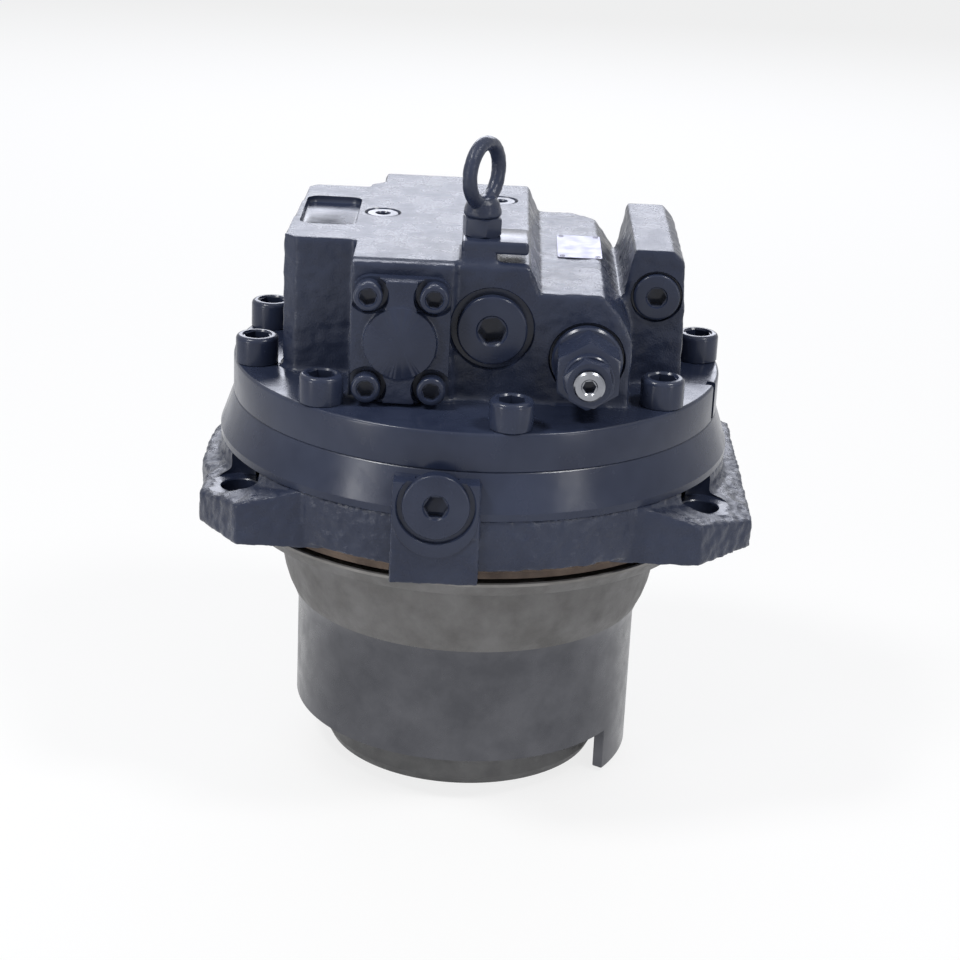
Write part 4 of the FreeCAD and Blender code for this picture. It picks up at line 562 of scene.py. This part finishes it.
def valve_tools():
    """Every seat, bore and pocket that is cut into the valve block."""
    tools = bmesh.new()
    lead = 1.0
    plug = middle("spool_plug_front")
    seat_tool(tools, plug.x, BLOCK_FRONT, plug.z, FRONT,
              [(0, -30), (23.2, -30), (23.2, -3), (28, -3), (28.4, -2.6), (28.4, -lead + 0.2),
               (29.4, 0.4), (29.4, 12), (0, 12)])
    valve = middle("relief_cartridge")
    seat_tool(tools, valve.x, BLOCK_FRONT, valve.z, FRONT,
              [(0, -30), (16, -30), (16, -4), (25.2, -4), (25.6, -3.6), (25.6, -lead), (26.4, 0.3),
               (26.4, 12),
               (0, 12)])
    port = middle("port_plug")
    seat_tool(tools, port.x, RIGHT_FRONT, port.z, FRONT,
              [(0, -25), (14, -25), (14, -3), (17.6, -3), (17.6, -lead), (18.4, 0.3), (18.4, 10), (0, 10)])
    rear = middle("spool_plug_rear")
    seat_tool(tools, rear.x, BLOCK_REAR, rear.z, REAR,
              [(0, -26), (23.2, -26), (23.2, -0.5), (25, -0.5), (25, 30), (0, 30)])
    top = span("flush_plugs")[1].z
    for x, y, _ in FLUSH_PLACES:
        seat_tool(tools, x, y, top, UP, [(0, -14), (12, -14), (12.3, -0.8), (13.3, 0.6), (13.3, 6),
                                         (0, 6)], 48)
    for x, y in WORK_PORTS:
        seat_tool(tools, x, y, WORK_PORT_HEIGHT, REAR,
                  [(0, -36), (11, -36), (11, -1), (12, 0.3), (12, 6), (0, 6)], 64)
        for sx in (-1, 1):
            for sz in (-1, 1):
                seat_tool(tools, x + 11.1 * sx, y, WORK_PORT_HEIGHT + 23.8 * sz, REAR,
                          [(0, -18), (4.25, -18), (4.25, -1), (5, 0.3), (5, 6), (0, 6)], 24)
    pocket = rounded_plate(40, 82, 9, 12)
    for face in pocket.faces:
        face.material_index = FACED
    soften(pocket, 2.5, 3, where=lambda edge: max(vert.co.z for vert in edge.verts) < 0.1)
    add(tools, pocket, Matrix.Translation((-109, 20, TOP_PLANE - 5)))
    return tools


def lift_ledge():
    """The flat ledge on the lifting pad, with the eye's nut standing on it."""
    top = span("eye_bolt_nut")[0].z
    bm = bmesh.new()
    block(bm, (-13, -104, 201), (32, -64, top), FACED)
    soften(bm, 2.2, 3)
    piece = stock("lift_ledge", bm, PAINTS)
    finished(piece, "case", replaces=["motor_cover"])


def piston_cover():
    """Small cast cover with a round boss, two ribs and four screw seats."""
    screw_x, screw_z = 22, 32
    low, high = span("piston_cover")
    centre = middle("piston_cover")
    width, height = high.x - low.x, high.z - low.z
    base, boss = 12.0, high.y - low.y
    bm = rounded_plate(width, height, 11, base)
    for sign in (-1, 1):
        block(bm, (-10.5, sign * height / 4 - 21, 2), (10.5, sign * height / 4 + 21, boss - 1.4))
    add(bm, turned([(0, 1), (24.5, 1), (24.5, boss - 0.2), (0, boss - 0.2)], steps=72))
    place = aim((centre.x, high.y, centre.z), FRONT)
    piece = stock("piston_cover_casting", bm, PAINTS)
    melt(piece, 0.75, 5)
    roughen(piece, 0.22, 6.0)
    tools = bmesh.new()
    for sx in (-1, 1):
        for sz in (-1, 1):
            add(tools, turned([(0, -1), (7, -1), (7, 7), (12.8, 7), (13.2, 7.4), (13.2, 11.2), (14, 12.4),
                               (14, 30), (0, 30)], steps=64, finish=FACED),
                Matrix.Translation((screw_x * sx, screw_z * sz, 0)))
    machine(piece, tools)
    facing = bmesh.new()
    add(facing, turned([(0, boss - 0.6), (40, boss - 0.6), (40, boss + 4), (0, boss + 4)], finish=FACED))
    machine(piece, facing)
    piece.data.transform(Matrix.Scale(MM, 4) @ place @ Matrix.Scale(1 / MM, 4))
    finished(piece, "case", replaces=["piston_cover"])


def relief_valve():
    """Cartridge with its collar and long hexagon, lock nut and setting screw."""
    low = span("relief_cartridge")[0]
    centre = middle("relief_cartridge")
    face = BLOCK_FRONT
    proud = face - low.y
    stem = 10.5
    bm = bmesh.new()
    add(bm, turned([(stem, -40), (15.9, -40), (15.9, -4), (24.1, -4), (24.1, 4.6), (22.8, 6), (17, 7.5),
                    (17, proud - 0.8), (16.2, proud), (stem, proud)], steps=72, finish=FACED))
    add(bm, nut_shape(41, 7, proud - 7, 11))
    piece = stock("relief_body", bm, PAINTS)
    piece.data.transform(aim(Vector((centre.x, face, centre.z)) * MM, FRONT))
    finished(piece, "case", replaces=["relief_cartridge"])
    nut = stock("lock_nut", nut_shape(30, proud, proud + 9, stem, finish=0), [PAINT_SMOOTH])
    nut.data.transform(aim(Vector((centre.x, face, centre.z)) * MM, FRONT, 14))
    finished(nut, "case", replaces=["relief_lock_nut"])
    tip = face - span("relief_adjuster")[0].y
    setter = stock("setting_screw",
                   turned([(0, 0), (stem - 0.1, 0), (stem - 0.1, tip - 1.2), (stem - 1.3, tip),
                                            (5.6, tip), (4.8, tip - 0.8), (0, tip - 0.8)], 64, FACED),
                   [SOCKET_STEEL, SOCKET_STEEL, PAINT_SOCKET])
    machine(setter, moved(socket_tool(8, 6), tip - 0.8), solver="EXACT")
    setter.data.transform(aim(Vector((centre.x, face, centre.z)) * MM, FRONT, 8))
    finished(setter, "case", replaces=["relief_adjuster"])


def nut_shape(flats, start, end, bore, finish=FACED):
    """A hexagon with chamfered ends: a hexagonal bar turned down at its corners."""
    bm = bmesh.new()
    reach = flats / math.sqrt(3) + 0.3
    prism(bm, hexagon(flats, 30), start, end, finish=finish)
    soften(bm, 0.5, 2, where=lambda edge: abs(edge.verts[0].co.z - edge.verts[1].co.z) > 1)
    bar = stock("bar", bm, [PAINT_SMOOTH, PAINT_SMOOTH])
    sleeve = turned([(bore, start - 1), (flats / 2 - 0.6, start - 1), (flats / 2 + 0.2, start),
                     (reach, start + 1.9), (reach, end - 1.9), (flats / 2 - 0.4, end),
                     (flats / 2 - 0.6, end + 1), (bore, end + 1)], steps=72, finish=finish)
    machine(bar, sleeve, operation="INTERSECT", solver="EXACT")
    shape = shape_of(bar)
    discard(bar)
    return shape


def lifting_eye():
    """Forged eye: a ring run into its collar, on a plain shank."""
    low, high = span("eye_bolt")
    base = span("eye_bolt_nut")[1].z
    centre = middle("eye_bolt")
    ring_outer, wire = 25.0, 5.0
    middle_height = high.z - ring_outer
    bm = bmesh.new()
    ring = turned(arc(ring_outer - wire, 0, wire, 0, 360, 20)[:-1], steps=96)
    add(bm, ring, Matrix.Translation((0, 0, middle_height)) @ Matrix.Rotation(math.radians(90), 4, "X"))
    add(bm, turned([(0, base), (11.6, base), (12.8, base + 1.4), (12.6, base + 4), (11, base + 9.5),
                    (8.5, base + 12.5), (0, base + 13)], steps=64))
    piece = stock("lifting_eye", bm, [PAINT_CAST])
    melt(piece, 0.55, 6)
    roughen(piece, 0.2, 5.0)
    shank = shape_of(piece)
    add(shank, turned([(0, low.z), (5.95, low.z), (5.95, base + 2), (0, base + 2)], steps=32))
    name = piece.name
    bpy.data.objects.remove(piece)
    piece = stock(name, shank, [PAINT_CAST])
    turn = (Matrix.Translation(Vector((centre.x, centre.y, 0)) * MM)
            @ Matrix.Rotation(math.radians(62), 4, "Z"))
    piece.data.transform(turn)
    finished(piece, "case", replaces=["eye_bolt"])
    nut_low, nut_high = span("eye_bolt_nut")
    nut = stock("eye_nut", nut_shape(24, nut_low.z, nut_high.z, 6), [PAINT_SMOOTH, PAINT_SMOOTH])
    nut.data.transform(aim(Vector((centre.x, centre.y, 0)) * MM, UP, 12))
    finished(nut, "case", replaces=["eye_bolt_nut"])


def name_plate():
    """Blank plate with four rivets."""
    low, high = span("name_plate")
    centre = middle("name_plate")
    bm = rounded_plate(high.x - low.x, high.y - low.y, 2, 0.7)
    soften(bm, 0.2, 1)
    rivet_x, rivet_y = (high.x - low.x) / 2 - 3.4, (high.y - low.y) / 2 - 3.4
    for sx in (-1, 1):
        for sy in (-1, 1):
            rivet = turned(arc(0, -1.2, 2.4, 18, 90, 5) + [(0, -0.6)], steps=20)
            add(bm, rivet, Matrix.Translation((sx * rivet_x, sy * rivet_y, 0.6)))
    piece = stock("plate", bm, [PLATE])
    piece.data.transform(Matrix.Translation(Vector((centre.x, centre.y, low.z)) * MM))
    finished(piece, "case", replaces=["name_plate"])


# ------------------------------------------------------------------ flange casting
def flange_ring():
    """The turned ring of the flange casting, with the spindle below it."""
    edge, top = RING_EDGE, RING_EDGE_HEIGHT
    profile = [(0, SEAM - 20), (104, SEAM - 20), (104, SEAM), (174.2, SEAM), (COVER_RADIUS, SEAM - 0.8),
               (edge - 0.4, top + 0.9), (edge, top), (edge - 0.2, top - 5), (edge - 3, top - 7),
               (160, top - 7)]
    profile += [(160, 4), (174, 4), (174, 0.8), (173.2, 0), (172, 0), (172, -5), (97, -5), (97, -16),
                (90, -16), (90, -64), (86, -64), (86, FLANGE_LOW.z), (0, FLANGE_LOW.z)]
    bm = turned(profile, steps=256, finish=FACED)
    paint_end = 4.5
    for face in bm.faces:
        if face.calc_center_median().z < paint_end:
            face.material_index = RUSTED
    piece = stock("flange_ring", bm, PAINTS + [RUST])
    finished(piece, "case", sharp=24, replaces=["mounting_flange"])


def ear_shape():
    """The four-eared plate with its sloping webs, and the bulging skirt."""
    bm = bmesh.new()
    plate = bmesh.new()
    left, right, front, corner, side = -188, 197, 144.5, 158, 103
    outline = [(-corner, -front), (corner, -front), (right, -side), (right, side), (corner, front),
               (-corner, front), (left, side), (left, 60), (-195, 30), (-195, -30), (left, -60),
               (left, -side)]
    prism(plate, outline, 0, RING_EDGE_HEIGHT - 4)
    web_start, web_drop = 111, 22.5
    for sign in (-1, 1):
        fall = Vector((sign * web_drop, 0, right - web_start)).normalized()
        trim(plate, (sign * web_start, 0, RING_EDGE_HEIGHT - 4), fall)
    add(bm, plate)
    add(bm, turned([(0, 4), (182, 4), (183.4, 29), (183.2, 41), (0, 41)], steps=160))
    return bm


def ear_casting():
    """The rough outside of the flange casting, with its machined seats and holes."""
    piece = stock("ear_casting", ear_shape(), PAINTS)
    melt(piece, 1.6, 5)
    roughen(piece, 0.9, 8.0)
    core = bmesh.new()
    add(core, turned([(0, -20), (168, -20), (168, 60), (0, 60)], steps=128, finish=CAST))
    machine(piece, core)
    tools = bmesh.new()
    block(tools, (-260, -260, -30), (260, 260, 0.0), FACED)
    machine(piece, tools)
    tools = bmesh.new()
    ear_x, ear_y = 160.5, 93
    ear_hole = [(0, -5), (13, -5), (13, 23.2), (13.8, 24), (22.4, 24), (23, 24.6), (23, 60), (0, 60)]
    for sx in (-1, 1):
        for sy in (-1, 1):
            hole = turned(ear_hole, steps=72, finish=FACED)
            add(tools, hole, Matrix.Translation((ear_x * sx, ear_y * sy, 0)))
    add(tools, turned([(0, 12), (5, 12), (5, 60), (0, 60)], steps=32, finish=FACED),
        Matrix.Translation((131, -112, 0)))
    machine(piece, tools)
    finished(piece, "case", replaces=["mounting_flange"])


def drain_boss():
    """The flat-faced boss that carries the drain plug, rough below and faced in front."""
    centre = middle("drain_plug")
    face = -(RING_EDGE + 5)
    half, foot, bowl = 29.5, -4.5, 44.0
    bm = bmesh.new()
    block(bm, (centre.x - half, face + 2.2, foot), (centre.x + half, -150, 66))
    block(bm, (centre.x - half + 4, face + 0.8, 30), (centre.x + half - 1, -150, 66))
    piece = stock("drain_boss", bm, PAINTS)
    melt(piece, 1.0, 6)
    roughen(piece, 0.5, 6.0)
    pad = bmesh.new()
    outline = [(half - 1, SEAM - 4), (half - 1, bowl)]
    outline += arc(0, bowl, half - 1, 0, -180, 16)[1:]
    outline += [(-half + 1, SEAM - 4)]
    prism(pad, [(centre.x + u, v) for u, v in outline], face, -160, "XZ", finish=FACED)
    soften(pad, 0.8, 2)
    machine(piece, pad, operation="UNION")
    tools = bmesh.new()
    seat_tool(tools, centre.x, face, centre.z, FRONT,
              [(0, -12), (22, -12), (22, -3), (25.7, -3), (26, -2.7), (26, -1), (27, 0.3), (27, 10), (0, 10)])
    machine(piece, tools)
    finished(piece, "case", replaces=["mounting_flange"])


# ------------------------------------------------------------------ hub
def hub_shape():
    """Corners of the drum outside and inside, from its top rim down and up again."""
    top = HUB_HIGH.z
    rim = 174.0
    outer = [(146, top), (rim - 0.8, top), (rim, top - 0.8), (rim, top - 2.8), (168, top - 11.4),
             (152, top - 11.4)]
    outer += arc(152, top - 22.4, 11, 90, 180, 5)[1:] + [(140, -41), (138, -52), (136, -62), (133.2, -71)]
    outer += [(129.5, -79), (BAND_RADIUS, -89.6), (BAND_RADIUS, -166.5)]
    inner = [(112, -166.5), (112, -74), (109, -74), (109, -10), (124, -10), (124, top - 12), (146, top - 12)]
    return outer, inner


def hub():
    """The turning drum: bare casting above, turned pilot below, and its drive lug."""
    outer, inner = hub_shape()
    bm = turned(outer + inner, steps=256)
    band_top, bore, rim_foot, rim_bore = -79, 112, HUB_HIGH.z - 4, 145
    # The top rim takes the lighter turned iron, a painted highlight; the pilot band keeps the darker copy.
    casting, pilot, rim = 0, 1, 2
    for face in bm.faces:
        place = face.calc_center_median()
        radius = place.xy.length
        if place.z < band_top and radius > bore:
            face.material_index = pilot
        elif place.z > rim_foot and radius > rim_bore:
            face.material_index = rim
        else:
            face.material_index = casting
    lug = bmesh.new()
    wall, foot, head, start, sweep = 8, -198, -165, 328, 37
    section = [(BAND_RADIUS - wall, foot), (BAND_RADIUS, foot), (BAND_RADIUS, head),
               (BAND_RADIUS - wall, head)]
    turn = Matrix.Rotation(math.radians(start), 4, "Z")
    verts = [lug.verts.new(turn @ Vector((r, 0, z))) for r, z in section]
    face = lug.faces.new(verts)
    bmesh.ops.spin(lug, geom=[face], cent=(0, 0, 0), axis=(0, 0, 1), dvec=(0, 0, 0),
                   angle=math.radians(sweep), steps=24, use_merge=False, use_duplicate=False)
    soften(lug, 0.8, 2)
    for each in lug.faces:
        each.material_index = pilot
    add(bm, lug)
    piece = stock("hub_drum", bm, [IRON_CAST, IRON_TURNED, IRON_RIM_HIGHLIGHT])
    finished(piece, "hub", sharp=20, replaces=["hub"])


# ------------------------------------------------------------------ the rest of the CAD nodes
def dress(finish, *names):
    """Gives CAD nodes that stay as they are their finish."""
    for name in names:
        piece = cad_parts[name]
        piece.data.materials.clear()
        piece.data.materials.append(finish)


def dress_inner_parts():
    dress(INNER_CAST, "end_cover", "carrier_1", "carrier_2", "brake_piston")
    dress(RUBBER, "cover_seal", "seal_o_ring_fixed", "seal_o_ring_hub")
    dress(BRONZE, "valve_plate", "slippers", "brake_discs")
    dress(STEEL, "shaft_bearings", "brake_plates", "brake_spring", "bearing_inner_rings",
          "bearing_outer_rings", "bearing_rollers", "bearing_nut", "seal_ring_fixed", "seal_ring_hub",
          "carrier_2_bolts", "carrier_2_pins", "carrier_1_pins", "ring_gear", "cover_snap_ring", "sun_1",
          "sun_2", "drive_shaft", "cylinder_block", "pistons", "retainer_plate", "swash_plate",
          "speed_piston", "main_spool", "relief_poppet", "speed_spool", "planet_1_a", "planet_1_b",
          "planet_1_c", "planet_2_a", "planet_2_b", "planet_2_c")


# ------------------------------------------------------------------ floor, light and camera
def background_light(tree, shade, level):
    """White for what the camera and polished metal see, the given shade for everything else."""
    path = tree.nodes.new("ShaderNodeLightPath")
    seen = tree.nodes.new("ShaderNodeMath")
    seen.operation = "MAXIMUM"
    seen_through = tree.nodes.new("ShaderNodeMath")
    seen_through.operation = "MAXIMUM"
    tree.links.new(path.outputs["Is Camera Ray"], seen.inputs[0])
    tree.links.new(path.outputs["Is Glossy Ray"], seen.inputs[1])
    tree.links.new(seen.outputs[0], seen_through.inputs[0])
    tree.links.new(path.outputs["Is Transmission Ray"], seen_through.inputs[1])
    amount = tree.nodes.new("ShaderNodeMath")
    amount.operation = "MULTIPLY"
    amount.inputs[1].default_value = level
    tree.links.new(seen_through.outputs[0], amount.inputs[0])
    mix = tree.nodes.new("ShaderNodeMixShader")
    tree.links.new(amount.outputs[0], mix.inputs[0])
    tree.links.new(shade, mix.inputs[1])
    return mix


def studio():
    """Even pale room, and a pale floor just below the drive."""
    world = bpy.data.worlds.new("studio")
    bpy.context.scene.world = world
    world.use_nodes = True
    tree = world.node_tree
    tree.nodes.clear()
    output = tree.nodes.new("ShaderNodeOutputWorld")
    soft = tree.nodes.new("ShaderNodeBackground")
    soft.inputs["Color"].default_value = (0.93, 0.96, 1.0, 1.0)
    soft.inputs["Strength"].default_value = 0.30
    white = tree.nodes.new("ShaderNodeBackground")
    white.inputs["Strength"].default_value = 1.0
    mix = background_light(tree, soft.outputs[0], 1.0)
    tree.links.new(white.outputs[0], mix.inputs[2])
    tree.links.new(mix.outputs[0], output.inputs["Surface"])

    paper = bpy.data.materials.new("pale_floor")
    paper.use_nodes = True
    tree = paper.node_tree
    tree.nodes.clear()
    output = tree.nodes.new("ShaderNodeOutputMaterial")
    matt = tree.nodes.new("ShaderNodeBsdfDiffuse")
    matt.inputs["Color"].default_value = (0.86, 0.86, 0.86, 1.0)
    glow = tree.nodes.new("ShaderNodeEmission")
    glow.inputs["Strength"].default_value = 1.0
    mix = background_light(tree, matt.outputs[0], 0.8)
    tree.links.new(glow.outputs[0], mix.inputs[2])
    tree.links.new(mix.outputs[0], output.inputs["Surface"])
    bm = bmesh.new()
    bmesh.ops.create_grid(bm, x_segments=1, y_segments=1, size=9000)
    bm.transform(Matrix.Translation((0, 0, CAD_BOX[0].z / MM - 0.2)))
    floor = stock("floor", bm, [paper])


def lamp(name, at, size, power, colour=(1, 1, 1)):
    """A softbox that faces the drive."""
    data = bpy.data.lights.new(name, "AREA")
    data.shape = "RECTANGLE"
    data.size, data.size_y = size
    data.energy = power
    data.color = colour
    place = bpy.data.objects.new(name, data)
    place.location = at
    place.rotation_euler = (Vector((0, 0, 0.05)) - Vector(at)).to_track_quat("-Z", "Y").to_euler()
    place.visible_camera = False
    bpy.context.scene.collection.objects.link(place)


def camera():
    """Long lens from in front and a little above, rolled slightly."""
    elevation, roll = math.radians(20.603), math.radians(2.700)
    back = Vector((0, -math.cos(elevation), math.sin(elevation)))
    level, lift = Vector((1, 0, 0)), Vector((0, math.sin(elevation), math.cos(elevation)))
    right = level * math.cos(roll) + lift * math.sin(roll)
    up = lift * math.cos(roll) - level * math.sin(roll)
    data = bpy.data.cameras.new("camera")
    data.lens = 85.8
    data.sensor_width = 36
    data.clip_end = 60
    place = bpy.data.objects.new("camera", data)
    turn = Matrix((right, up, back)).transposed().to_4x4()
    place.matrix_world = Matrix.Translation((0.0066, -1.5846, 0.5969)) @ turn
    bpy.context.scene.collection.objects.link(place)
    bpy.context.scene.camera = place


cover_disc()
valve_casting()
lift_ledge()
piston_cover()
cover_screws()
cap_screws()
socket_plug("large_plug", "spool_plug_front", 23.8, 17, 12, FRONT, 10)
socket_plug("rear_plug", "spool_plug_rear", 23.8, 17, 12, REAR, 5)
socket_plug("side_plug", "port_plug", 16.2, 12, 9, FRONT, 0)
socket_plug("drain_screw", "drain_plug", 22.5, 14, 10, FRONT, 0)
flush_screws()
relief_valve()
lifting_eye()
name_plate()
flange_ring()
ear_casting()
drain_boss()
hub()
dress_inner_parts()
studio()
lamp("overhead_left", (-1.1, -0.5, 2.0), (0.45, 0.45), 26)
lamp("overhead_right", (1.1, -0.6, 1.9), (0.45, 0.45), 20)
lamp("side_left", (-1.7, -1.5, 0.2), (0.45, 1.5), 15)
lamp("side_right", (1.7, -1.7, 0.2), (0.40, 1.5), 9)
lamp("rear_box", (0.0, 2.7, 1.3), (2.4, 1.1), 40, (0.85, 0.88, 1.0))
camera()
bpy.context.scene.view_settings.view_transform = "Standard"
